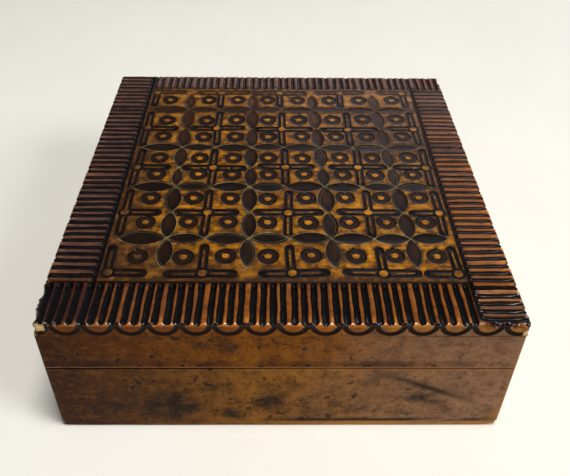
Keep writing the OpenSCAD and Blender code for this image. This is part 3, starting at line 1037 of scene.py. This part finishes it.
def press_scallops(x, y, past, down, burn, stain):
    """Cuts the half rings into the edge. No brown stain lies inside them."""
    for side in range(4):
        along, inward = side_view(side, x, y)
        for place in scallop_places():
            near = (inward < CORNER_R) & (np.abs(along - place) < SCALLOP_R + 0.6)
            below = past[near] - SCALLOP_DROP
            away = np.where(below > 0, np.hypot(along[near] - place, below), np.abs(along[near] - place))
            gap = np.abs(away - (SCALLOP_R - SCALLOP_LINE / 2)) - SCALLOP_LINE / 2
            gap = np.maximum(gap, -0.45 - below)
            down[near] = np.maximum(down[near], SCALLOP_DEPTH * ease(gap, 0.1, -0.3))
            line = ease(gap, 0.2, -0.1) * (SCALLOP_BURN - SCALLOP_FADING * ease(gap, -0.15, -0.45))
            burn[near] = np.maximum(burn[near], line)
            stain[near] = np.minimum(stain[near], ease(away, SCALLOP_R - 0.7, SCALLOP_R - 0.2))


def press_chips(along, inward, past, down, burn, bare):
    """Breaks the chips out of the front corners, down to bare wood."""
    near = inward < 2 * CORNER_R
    for place, height, half_w, half_h, depth in CHIPS:
        side, rise = np.abs((along[near] - place) / half_w), np.abs((past[near] - height) / half_h)
        away = (side ** 3 + rise ** 3) ** (1 / 3)
        away += 0.08 * np.sin(along[near] * 2.3) + 0.06 * np.sin(past[near] * 3.1 + along[near] * 2)
        chip = ease(away, 1.0, 0.82)
        down[near] = np.maximum(down[near] * (1 - chip), depth * chip)
        burn[near] *= 1 - chip
        bare[near] = np.maximum(bare[near], chip)


def edge_relief(ribs, way, past):
    """Places and finish of the rim's and side's points, from the unrolled drawing."""
    x0, y0, out_x, out_y = outline_point(way)
    bend, out, drop = (np.interp(past, RIM_WAY, run) for run in (RIM_TILT, RIM_OUT, RIM_DROP))
    x, y, z = x0 + out_x * out, y0 + out_y * out, TOP - drop - np.maximum(past - RIM_L, 0)
    down = np.zeros_like(x)
    layers = {name: np.zeros_like(x) for name in LAYERS}
    layers["smoke"] = smoke_at(x, y) * ease(past, RIM_L + 1.2, RIM_L)
    layers["stain"] = ease(past, RIM_L - 0.3, RIM_L + 0.3)
    burn = layers["burn"]
    press_ribs(ribs, x, y, down, burn, layers["tone"], past)
    press_scallops(x, y, past, down, burn, layers["stain"])

    # Char over the rim where the right strip ends at the front
    along, inward = side_view(0, x, y)
    corner = (inward < CORNER_R) & (along > HALF - BORDERS[1])
    strength, start, full = CORNER_CHAR
    burn[corner] = np.maximum(burn[corner], strength * ease(past[corner], start, full))

    press_chips(along, inward, past, down, burn, layers["bare"])
    down += SINK - uneven(x0, y0) * ease(past, RIM_L, 0)
    lean_in = np.sin(bend)
    points = [x - out_x * lean_in * down, y - out_y * lean_in * down, z - np.cos(bend) * down]
    return np.stack(points, axis=1), layers


def top_relief(ribs, marks, petals, x, y):
    """Heights and finish of the flat top's points."""
    down = np.zeros_like(x)
    layers = {name: np.zeros_like(x) for name in LAYERS}
    layers["smoke"] = smoke_at(x, y)
    layers["scribe"] = press_scribe(petals, x, y)
    press_ribs(ribs, x, y, down, layers["burn"], layers["tone"])
    press(marks, x, y, down, layers["burn"], layers["halo"])
    down += SCRIBE_DEPTH * layers["scribe"] - uneven(x, y) + SINK
    return np.stack([x, y, TOP - down], axis=1), layers


def sew(mesh):
    """Joins the panel's top and edge along the rim, closes it below and rounds its shading."""
    sewn = bmesh.new()
    sewn.from_mesh(mesh)
    bmesh.ops.remove_doubles(sewn, verts=sewn.verts, dist=WELD * MM)
    bmesh.ops.edgeloop_fill(sewn, edges=[e for e in sewn.edges if e.is_boundary])
    bmesh.ops.recalc_face_normals(sewn, faces=sewn.faces)
    for face in sewn.faces:
        face.smooth = True
    sewn.to_mesh(mesh)
    sewn.free()
    mesh.set_sharp_from_angle(angle=math.radians(SHARP_DEG))


def make_lid_panel(lacquered, waxed, rubbed):
    """The panel's relief: the flat top and the unrolled edge, sewn along the rim and closed below."""
    chance = random.Random(SEED)
    ribs = lay_ribs(chance)
    petals = lay_petals(chance)

    top = Sheet()
    ways = draw_ribs(top, ribs)
    marks = frame_marks(top) + node_marks(top, chance) + ring_marks(top, chance) + petal_marks(top, petals)
    for start in SIDE_STARTS:
        ways += [start - QUARTER * share for share in CORNER_SHARES]
    ways += [0.0] + list(steps(0, AROUND, RIM_STEP)[1:-1])
    ways = sorted(ways)
    ways = [w for w, after in zip(ways, ways[1:] + [AROUND]) if after - w > LEAST_STEP]
    x, y, _, _ = outline_point(ways)
    top.line(np.stack([x, y], axis=1), closed=True)
    front, right, back, left = BORDERS
    for gx in np.arange(-HALF + left + 2, HALF - right - 1, GROUND_STEP):
        top.dots([(gx, gy) for gy in np.arange(-HALF + front + 2, HALF - back - 1, GROUND_STEP)])
    top_flat, top_faces = top.triangles()
    top_points, top_layers = top_relief(ribs, marks, petals, top_flat[:, 0], top_flat[:, 1])

    edge = Sheet()
    draw_edge(edge, ways + [AROUND], ribs)
    edge_flat, edge_faces = edge.triangles()
    edge_points, edge_layers = edge_relief(ribs, edge_flat[:, 0], edge_flat[:, 1])

    shift = len(top_points)
    points = np.concatenate([top_points, edge_points])
    worn, reach_x, reach_y = CORNER_WEAR
    from_corner = -((points[:, 0] + HALF) / reach_x) ** 2 - ((points[:, 1] + HALF) / reach_y) ** 2
    points[:, 0] += worn * np.exp(from_corner)
    faces = top_faces + [tuple(k + shift for k in f[::-1]) for f in edge_faces]
    mesh = bpy.data.meshes.new("lid_panel_relief")
    mesh.from_pydata((points * MM).tolist(), [], faces)
    for name in LAYERS:
        layer = mesh.attributes.new(name, "FLOAT", "POINT")
        values = np.concatenate([top_layers[name], edge_layers[name]])
        layer.data.foreach_set("value", values.astype(np.float32))
    sew(mesh)

    for finish in (lacquered, waxed, rubbed):
        mesh.materials.append(finish)
    for face in mesh.polygons:
        past_line = face.center.y / MM + HALF - front
        upright = face.center.z < (TOP - RIM_DROP[-1] - 0.02) * MM
        dulled = DULL_ZONE[0] < past_line < DULL_ZONE[1]
        face.material_index = 2 if upright or dulled else int(past_line > 0)
    panel = set_out("lid_panel_relief", mesh)
    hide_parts("lid_panel")
    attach(panel, "lid")


def make_bottom_board(material):
    """The bottom board, its lower rim rounded by wear, most at the front's right corner."""
    inner = WALL_HALF - WALL_CORNER_R
    rim = []
    for side in range(4):
        run = [(a, 0.0) for a in steps(-inner, inner, FOOT_RIM_STEP)]
        run += [(inner, b) for b in np.linspace(0, math.pi / 2, 7)[1:-1]]
        for along, bend in run:
            x, y, out_x, out_y = along, -inner, math.sin(bend), -math.cos(bend)
            for _ in range(side):
                x, y, out_x, out_y = -y, x, -out_y, out_x
            rim.append((x, y, out_x, out_y))
    x, y, out_x, out_y = np.array(rim).T
    worn = FOOT_RIM_R + FOOT_WAVE * np.sin(x / 6.1 + 1) * np.sin(y / 4.7)
    for side_x, side_y, depth, reach in FOOT_WEAR:
        away = np.hypot(x - side_x * WALL_HALF, y - side_y * WALL_HALF)
        worn += depth * np.exp(-(away / reach) ** 2)
    worn = np.minimum(worn, FOOT_Z - 0.1)

    def ring(inset, z):
        corner = WALL_CORNER_R + 0.6 * inset
        spread = (WALL_HALF - inset - corner) / inner
        return np.stack([x * spread + out_x * corner, y * spread + out_y * corner, z + 0 * x], axis=1)

    rings = [ring(0 * x, FOOT_Z)]
    for bend in np.linspace(0, math.pi / 2, 8):
        rings.append(ring(worn * (1 - math.cos(bend)), worn * (1 - math.sin(bend))))
    count = len(x)
    faces = [tuple(range(count)), tuple(reversed(range((len(rings) - 1) * count, len(rings) * count)))]
    for upper in range(0, (len(rings) - 1) * count, count):
        lower = upper + count
        for k in range(count):
            after = (k + 1) % count
            faces.append((upper + after, upper + k, lower + k, lower + after))
    mesh = bpy.data.meshes.new("worn_bottom_board")
    mesh.from_pydata((np.concatenate(rings) * MM).tolist(), [], faces)
    for face in mesh.polygons:
        face.use_smooth = True
    mesh.set_sharp_from_angle(angle=math.radians(FOOT_SHARP_DEG))
    mesh.materials.append(material)
    board = set_out("worn_bottom_board", mesh)
    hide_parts("base_bottom_board")
    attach(board, "base")


# Finishes

BAND = ("Value", "From Min", "From Max", "To Max", "To Min")
Stain = namedtuple("Stain", "tone cloud mottle grain along up x size_x size_y")


def patterns(tree, place, *kinds):
    """Irregular patterns, each given by its size in mm, detail, roughness and stretch along x, y and z."""
    found = []
    for size, detail, roughness, stretch in kinds:
        drawn = add(tree, "Mapping", {"Vector": place, "Scale": stretch})
        found.append(add(tree, "TexNoise", {
            "Vector": drawn, "Scale": 1 / (size * MM), "Detail": detail, "Roughness": roughness,
        }))
    return found


def overlap(tree, *bands):
    """How far all the bands hold at a place, multiplied.

    A band is a share from 0 to 1, or a pattern with the two values between which its share rises, then how
    much the share is at the second value, 1 unless given, and at the first, 0 unless given.
    """
    shown = None
    for band in bands:
        if isinstance(band, tuple):
            band = add(tree, "MapRange", dict(zip(BAND, band)))
        shown = band if shown is None else add(tree, "Math", {0: shown, 1: band}, operation="MULTIPLY")
    return shown


def cover(tree, tone, tint, *bands):
    """Lays a tint over a tone where the bands hold. Either is a hex colour or a pattern's colour."""
    tone, tint = (paint(c) if isinstance(c, str) else c for c in (tone, tint))
    return add(tree, "Mix", {"Factor": overlap(tree, *bands), "A": tone, "B": tint}, data_type="RGBA")


def from_middle(tree, *ways):
    """How far out in an oval a place is, 1 at its rim. A way is a pattern, its middle and its rim."""
    sides = [add(tree, "MapRange", dict(zip(BAND, way)), clamp=False) for way in ways]
    flat = add(tree, "CombineXYZ", dict(zip("XY", sides)))
    return add(tree, "VectorMath", {0: flat}, operation="LENGTH").outputs["Value"]


def soft_patch(tree, along, up, centre_x, centre_z, reach_x, reach_z):
    """1 in the middle of an oval place on the walls, given in mm, and 0 outside it."""
    ways = ((along, centre_x, reach_x), (up, centre_z, reach_z))
    away = from_middle(tree, *((way, centre * MM, (centre + reach) * MM) for way, centre, reach in ways))
    fading = {"Value": away, "From Min": 1.0, "From Max": 0.1}
    return add(tree, "MapRange", fading, interpolation_type="SMOOTHSTEP")


def lacquer(tree, tone, rough, dents, strength, depth, sheen):
    """Closes a wood's finish: its tone under lacquer, over a face with fine dents, their depth in mm."""
    bump = add(tree, "Bump", {"Height": dents, "Strength": strength, "Distance": depth * MM})
    surface = add(tree, "BsdfPrincipled", {
        "Base Color": tone, "Roughness": rough, "Normal": bump, "IOR": 1.45, "Specular IOR Level": sheen,
    })
    add(tree, "OutputMaterial", {"Surface": surface})


def brown_stain(tree, place):
    """Brown stain of the box's sides, the same across every joint: its colour and the patterns in it.

    It is red-brown at the left, darkened there with painted shade, golden in the middle and greyer at the
    right with a painted sheen, with clouds, fine mottling and speckled blue-black smudges where damp reached
    the wood.
    """
    split = add(tree, "SeparateXYZ", {"Vector": place})
    x, y, up = (split.outputs[k] for k in "XYZ")
    size_x, size_y = (add(tree, "Math", {0: way}, operation="ABSOLUTE") for way in (x, y))
    on_side = add(tree, "Math", {0: size_x, 1: size_y}, operation="GREATER_THAN")
    along = add(tree, "Mix", {"Factor": on_side, "A": x, "B": y}).outputs[0]
    cloud, grain, mottle, flakes, specks, ragged = patterns(tree, place, *STAIN_PATTERNS.values())

    # Red-brown, golden and grey from left to right, warmer on the lid: painted shade at the left, a painted
    # sheen at the right
    raised = overlap(tree, (up, (SEAM_Z - 1) * MM, (SEAM_Z + 2) * MM))
    drift = add(tree, "Math", {0: cloud, 1: 60 * MM, 2: x}, operation="MULTIPLY_ADD")
    early = add(tree, "Math", {0: raised, 1: 9 * MM, 2: drift}, operation="MULTIPLY_ADD")
    # Painted sheen: a grey that rises towards the right
    greyer_sheen = overlap(tree, (drift, 34 * MM, 84 * MM))
    tone = cover(tree, WALL_LEFT_SHADED, WALL_MIDDLE, (early, -30 * MM, 24 * MM))
    warm = {"Factor": raised, "A": tone, "B": paint(LID_WARMTH)}
    tone = add(tree, "Mix", warm, data_type="RGBA", blend_type="MULTIPLY")
    tone = cover(tree, tone, WALL_RIGHT_SHEEN, greyer_sheen)

    # Washes, grain lines, freckles, pale spots, golden flakes and dark specks
    for tint, *band in (
        (WALL_DEEP, cloud, 0.42, 0.66, 0.5),
        (WALL_LINE, grain, 0.5, 0.75, 0.25),
        (WALL_DEEP, mottle, 0.46, 0.66, 0.8),
        ("#8A5A34", mottle, 0.46, 0.3, 0.4),
        ("#7E4E14", flakes, 0.52, 0.66, 0.5),
        ("#24130C", specks, 0.55, 0.64, 0.8),
    ):
        tone = cover(tree, tone, tint, tuple(band))
    # More of the painted sheen: a calm grey over the right
    tone = cover(tree, tone, WALL_CALM_SHEEN, greyer_sheen, 0.42)

    there = 0.0
    for centre_x, centre_z, reach_x, reach_z, strength in SMUDGES:
        patch = soft_patch(tree, along, up, centre_x, centre_z, reach_x, reach_z)
        there = add(tree, "Math", {0: patch, 1: strength, 2: there}, operation="MULTIPLY_ADD")
    level = add(tree, "Math", {0: there, 1: 0.26, 2: ragged}, operation="MULTIPLY_ADD")
    tone = cover(tree, tone, SMUDGE_TONE, (level, 0.54, 0.8, 0.88))
    return Stain(tone, cloud, mottle, grain, along, up, x, size_x, size_y)


def amber_birch(name, sheen, dullness):
    """Stamped birch, stained amber, burnt with a hot iron and lacquered: warm grain, black glossy stamps."""
    material, tree = new_finish(name)
    coords = add(tree, "TexCoord")
    place = coords.outputs["Object"]
    backward = add(tree, "SeparateXYZ", {"Vector": place}).outputs["Y"]
    facing = add(tree, "SeparateXYZ", {"Vector": coords.outputs["Normal"]}).outputs["Z"]
    burn, smoke, scribe, stain, bare, tone, halo = (
        add(tree, "Attribute", attribute_name=layer).outputs["Fac"] for layer in LAYERS
    )
    grain, cloud, dashes, blotch = patterns(tree, place, *AMBER_PATTERNS.values())

    # Amber ground with grain along the front, a cloudy tone, short dark flecks and grime
    streak = overlap(tree, (grain, 0.34, 0.66))
    ground = cover(tree, AMBER_DARK, AMBER_LIGHT, streak)
    ground = cover(tree, ground, "#7A4610", (cloud, 0.42, 0.72, 0.7))
    ground = cover(tree, ground, "#4E2C0E", (dashes, 0.62, 0.72, 0.55))
    ground = cover(tree, ground, "#5A340E", (blotch, 0.48, 0.66, 0.7))

    # Ridges of the border, each with its own tint, streaked by the grain. The mauve tint is partly a painted
    # sheen, the bright tint painted light from the right
    mauve = overlap(tree, (tone, 1.0, 2.0))
    ridge = cover(tree, RIDGE_ORANGE, RIDGE_MAUVE_SHEEN, mauve)
    ridge = cover(tree, ridge, RIDGE_PAINTED_LIGHT, (tone, 1.0, 0.8, 0.8))
    ridge = cover(tree, ridge, "#45251A", (grain, 0.5, 0.66, 0.4))
    on_ridge = overlap(tree, (tone, 0.4, 0.7, 0.9))
    off_ridge = add(tree, "Math", {0: 1.0, 1: on_ridge}, operation="SUBTRACT")
    ground = cover(tree, ground, ridge, on_ridge)

    # The upright edge: clear orange inside the half rings, brown stain round them, a dark joint at the right
    brown = brown_stain(tree, place)
    left, middle, right = SCALLOP_TONES
    # Inside the half rings: darker at the left with painted shade, greyer at the right with a painted sheen
    inside = cover(tree, left, middle, (brown.x, -30 * MM, 8 * MM))
    inside = cover(tree, inside, right, (brown.x, 8 * MM, 50 * MM))
    inside = cover(tree, inside, "#4A260C", (brown.mottle, 0.44, 0.64, 0.6))
    ground = cover(tree, ground, inside, (facing, 0.8, 0.35), off_ridge)
    ground = cover(tree, ground, brown.tone, stain)
    underside = TOP - PANEL_T
    joint = (brown.up, (underside + 0.45) * MM, (underside + 0.15) * MM)
    ground = cover(tree, ground, "#170D0A", joint, (brown.along, 25 * MM, 45 * MM, 0.75))

    # Dust rubbed into the back of the lid, with a painted sheen in its grey, soot in patches, and the brown
    # halo of the iron's heat
    # Grey towards the back: dust, and a painted sheen of reflected light
    ground = cover(tree, ground, "#6C5848", (backward, 10 * MM, 65 * MM, 0.35))
    ground = cover(tree, ground, SOOT, smoke, (blotch, 0.36, 0.6, 1.0, 0.62))
    ground = cover(tree, ground, "#40240C", halo, (blotch, 0.36, 0.62, 1.1, 0.3))

    # Burnt stamps: a toasted edge, then char that is browner in places
    burn = overlap(tree, burn, (blotch, 0.3, 0.7, 1.2, 0.8))
    levels = ((0.02, 0.45), (0.4, 0.95))
    ramps = [{"Value": burn, "From Min": low, "From Max": high} for low, high in levels]
    scorched, charred = (add(tree, "MapRange", ramp, interpolation_type="SMOOTHSTEP") for ramp in ramps)
    # The mauve ridges' toasted edge carries the same painted sheen
    toast = cover(tree, "#382213", cover(tree, "#4C220E", "#2E2022", mauve), on_ridge)
    char = cover(tree, "#060505", "#24160F", (blotch, 0.42, 0.72), off_ridge)
    colour = cover(tree, cover(tree, ground, toast, scorched), char, charred)

    # Scratched outlines, chips and the bare underside
    colour = cover(tree, colour, "#A08A5C", (scribe, 0.15, 0.9), (blotch, 0.4, 0.56, 0.35, 0.95))
    colour = cover(tree, colour, cover(tree, "#C79A56", "#E6C896", streak), bare)
    colour = cover(tree, colour, cover(tree, "#9C7446", "#BC965F", streak), (facing, -0.5, -0.9))

    # Patchy lacquer over fine grain
    rough = overlap(tree, (blotch, 0.3, 0.7, dullness + 0.1, dullness))
    lacquer(tree, colour, rough, grain, 0.15, 0.1, sheen)
    return material


def slanting_streak(tree, stain, tone):
    """A dark streak that slants down across the base."""
    x0, z0, x1, z1 = STREAK
    slope = (z1 - z0) / (x1 - x0)
    level = add(tree, "Math", {0: stain.along, 1: -slope, 2: stain.up}, operation="MULTIPLY_ADD")
    wander = add(tree, "Math", {0: stain.mottle, 1: 2.0 * MM, 2: level}, operation="MULTIPLY_ADD")
    off = add(tree, "Math", {0: wander, 1: (z0 - slope * x0 + 1.0) * MM}, operation="SUBTRACT")
    off = add(tree, "Math", {0: off}, operation="ABSOLUTE")
    reach = soft_patch(tree, stain.along, stain.up, (x0 + x1) / 2, (z0 + z1) / 2, *STREAK_REACH)
    return cover(tree, tone, SMUDGE_TONE, (off, 2.2 * MM, 0.3 * MM, 0.86), reach)


def figure_eyes(tree, stain, tone):
    """Eyes of the figure: dark crescents turned all ways, each with a light lip that is a painted highlight.
    Gives where they are too.
    """
    flat = add(tree, "CombineXYZ", {"X": stain.along, "Y": stain.up})
    shake, = patterns(tree, flat, EYE_SHAKE)
    shaken = add(tree, "VectorMath", {
        0: shake.outputs["Color"], 1: (EYE_SHAKEN * MM, EYE_SHAKEN * MM, 0.0), 2: flat,
    }, operation="MULTIPLY_ADD")
    fainter = overlap(tree, (stain.x, 5 * MM, 45 * MM, 0.45, 1.0))
    eyes = 0.0
    for spacing, rare, low, high in EYES:
        scale = 1 / (spacing * MM)
        cells = add(tree, "TexVoronoi", {"Vector": shaken, "Scale": scale}, voronoi_dimensions="2D")
        away = cells.outputs["Distance"]
        offset = add(tree, "VectorMath", {0: shaken, 1: cells.outputs["Position"]}, operation="SUBTRACT")
        lean = add(tree, "VectorMath", {0: cells.outputs["Color"], 1: (0.5, 0.6, 0.5)}, operation="SUBTRACT")
        toward = add(tree, "VectorMath", {0: offset, 1: lean}, operation="DOT_PRODUCT").outputs["Value"]
        pick = add(tree, "SeparateColor", {"Color": cells.outputs["Color"]}).outputs["Blue"]
        chosen = overlap(tree, (pick, rare, rare + 0.06), fainter)
        for start, full, fade, end, tint, plain in EYE_PARTS:
            ring = (away, start, full), (away, end, fade)
            mark = overlap(tree, chosen, *ring, (toward, low * MM, high * MM, plain))
            tone = cover(tree, tone, tint, mark)
        eyes = add(tree, "Math", {0: mark, 1: eyes}, operation="MAXIMUM")
    return tone, eyes


def seam_wear(tree, stain, tone):
    """The seam: a stain and a row of pits above it, a painted highlight along the lid's edge, the base's
    rubbed edge, and the dark gap deepened with painted shade. Gives the pits too.
    """
    from_seam = add(tree, "Math", {0: stain.up, 1: SEAM_Z * MM}, operation="SUBTRACT")
    stained = (from_seam, 4.2 * MM, 2.6 * MM), (from_seam, 0.4 * MM, 1.4 * MM)
    tone = cover(tree, tone, "#33190C", *stained, (stain.cloud, 0.35, 0.55, 0.65))

    row = add(tree, "TexVoronoi", {"W": stain.along, "Scale": 1 / (6.5 * MM)}, voronoi_dimensions="1D")
    away = from_middle(tree, (row.outputs["Distance"], 0.0, 0.13), (from_seam, 1.4 * MM, 1.95 * MM))
    pit = overlap(tree, (away, 1.0, 0.6, 0.9), (stain.mottle, 0.42, 0.5))
    tone = cover(tree, tone, "#120A08", pit)

    # Painted highlight: a light line along the lid's lower edge, where its arris catches light
    lid_edge_highlight = (from_seam, 0.3 * MM, 0.42 * MM), (from_seam, 0.85 * MM, 0.6 * MM)
    tone = cover(tree, tone, "#8A6450", *lid_edge_highlight, (stain.mottle, 0.35, 0.6, 0.8))
    rightward = overlap(tree, (stain.along, -25 * MM, 10 * MM, 0.6))
    base_edge = (from_seam, -0.8 * MM, -0.5 * MM), (from_seam, 0.05 * MM, -0.05 * MM)
    tone = cover(tree, tone, "#A0642A", *base_edge, rightward)
    # The dark gap of the joint, deepened with painted shade in its groove
    gap = add(tree, "Math", {0: from_seam}, operation="ABSOLUTE")
    tone = cover(tree, tone, "#0C0605", (gap, 0.34 * MM, 0.2 * MM), (rightward, 0.0, 0.6, 0.55, 1.0))
    return tone, pit


def birds_eye_birch():
    """Figured birch under brown stain and lacquer: clouded tone, dark eyes and flecks, a worn glossy face."""
    material, tree = new_finish("lacquered_birds_eye_birch")
    coords = add(tree, "TexCoord")
    place = coords.outputs["Object"]
    stain = brown_stain(tree, place)
    dashes, ragged = patterns(tree, place, *WALL_PATTERNS.values())
    tone = slanting_streak(tree, stain, stain.tone)
    tone, eye = figure_eyes(tree, stain, tone)

    # Short flecks in drifts
    tone = cover(tree, tone, "#22140C", (dashes, 0.62, 0.72, 0.7), (stain.cloud, 0.42, 0.6, 1.0, 0.15))
    tone, pit = seam_wear(tree, stain, tone)

    # Dark dashes just above the bottom board at the right, and the right upright edge rubbed through
    rightward = overlap(tree, (stain.x, -15 * MM, 10 * MM))
    foot = (stain.up, (FOOT_Z + 2.2) * MM, (FOOT_Z + 0.7) * MM)
    tone = cover(tree, tone, "#1C1614", foot, (ragged, 0.4, 0.5, 0.95), rightward)
    sizes = {0: stain.size_x, 1: stain.size_y}
    nearest, farthest = (add(tree, "Math", sizes, operation=pick) for pick in ("MINIMUM", "MAXIMUM"))
    corner = (nearest, (WALL_HALF - 0.9) * MM, (WALL_HALF - 0.35) * MM)
    tone = cover(tree, tone, "#9C6420", corner, (stain.mottle, 0.35, 0.55, 1.0, 0.25), rightward)
    tone = cover(tree, tone, "#A07238", soft_patch(tree, stain.x, stain.up, WALL_HALF, 5, 6, 9), 0.6)

    # Bare wood inside and on the faces that meet at the seam
    facing = add(tree, "SeparateXYZ", {"Vector": coords.outputs["Normal"]}).outputs["Z"]
    facing = add(tree, "Math", {0: facing}, operation="ABSOLUTE")
    level = overlap(tree, (facing, 0.93, 0.98))
    inside = overlap(tree, (farthest, (INNER_HALF + 0.2) * MM, (INNER_HALF + 0.05) * MM))
    inside = add(tree, "Math", {0: inside, 1: level}, operation="MAXIMUM")
    tone = cover(tree, tone, cover(tree, "#8F6A40", "#C39C66", stain.grain), inside)

    matt = overlap(tree, (inside, 0.0, 1.0, 0.62, 0.3))
    rough = add(tree, "Math", {0: stain.mottle, 1: 0.12, 2: matt}, operation="MULTIPLY_ADD")
    dents = stain.grain
    for mark, depth in ((eye, -1.0), (pit, -1.5)):
        dents = add(tree, "Math", {0: mark, 1: depth, 2: dents}, operation="MULTIPLY_ADD")
    lacquer(tree, tone, rough, dents, 0.4, 0.15, 0.04)
    return material


def worn_birch():
    """Stained birch board, its lower edge rubbed lighter by sliding on tables; bare on its broad faces."""
    material, tree = new_finish("worn_stained_birch")
    coords = add(tree, "TexCoord")
    place = coords.outputs["Object"]
    facing = add(tree, "SeparateXYZ", {"Vector": coords.outputs["Normal"]}).outputs["Z"]
    flat = add(tree, "Math", {0: facing}, operation="ABSOLUTE")
    stain = brown_stain(tree, place)
    grain, = patterns(tree, place, BOARD_GRAIN)
    rightward = overlap(tree, (stain.x, -12 * MM, 18 * MM))
    tone = cover(tree, stain.tone, "#B07838", rightward, (stain.mottle, 0.36, 0.5, 0.9, 0.2))
    wavy = add(tree, "Math", {0: stain.mottle, 1: 1.6 * MM, 2: stain.up}, operation="MULTIPLY_ADD")
    grime = (wavy, (FOOT_Z + 0.1) * MM, (FOOT_Z + 0.6) * MM, 0.8)
    tone = cover(tree, tone, "#1E1510", grime, rightward)
    face = overlap(tree, (flat, 0.9, 0.98))
    tone = cover(tree, tone, cover(tree, "#8F6A40", "#BE9660", (grain, 0.3, 0.7)), face)
    rough = overlap(tree, (face, 0.0, 1.0, 0.66, 0.4))
    lacquer(tree, tone, rough, stain.grain, 0.35, 0.15, 0.04)
    return material


def brass(name, dull, bright, lines_mm, rough_low, rough_high):
    """Brass dulled by handling: warm yellow, brown tarnish in patches, fine lines from rolling or turning."""
    material, tree = new_finish(name)
    place = add(tree, "TexCoord").outputs["Object"]
    tarnish, lines = patterns(tree, place, BRASS_TARNISH, (lines_mm, 3.0, 0.5, (0.05, 1.0, 1.0)))
    patch = overlap(tree, (tarnish, 0.38, 0.62))
    tone = cover(tree, dull, bright, patch)
    rough = overlap(tree, (patch, 0.0, 1.0, rough_low, rough_high))
    bump = add(tree, "Bump", {"Height": lines, "Strength": 0.25, "Distance": 0.04 * MM})
    surface = add(tree, "BsdfPrincipled", {
        "Base Color": tone, "Metallic": 1.0, "Roughness": rough, "Normal": bump,
    })
    add(tree, "OutputMaterial", {"Surface": surface})
    return material


def dress(finish, slot):
    """Puts a finish on the CAD nodes of a material slot."""
    for part in frame["record"]["subparts"]:
        if part["material_slot"] == slot:
            materials = frame["nodes"][part["node"]].data.materials
            materials.clear()
            materials.append(finish)


make_camera()
make_floor()
make_light()
make_lid_panel(
    amber_birch("lacquered_amber_birch", 0.5, 0.14),
    amber_birch("waxed_amber_birch", 0.22, 0.26),
    amber_birch("rubbed_amber_birch", 0.05, 0.3),
)
dress(birds_eye_birch(), "wall_wood")
make_bottom_board(worn_birch())
dress(brass("dulled_rolled_brass", "#8A6A38", "#C6A664", 0.3, 0.3, 0.48), "hinge_brass")
dress(brass("turned_brass", "#8F6C34", "#CDAA62", 0.15, 0.24, 0.42), "screw_brass")
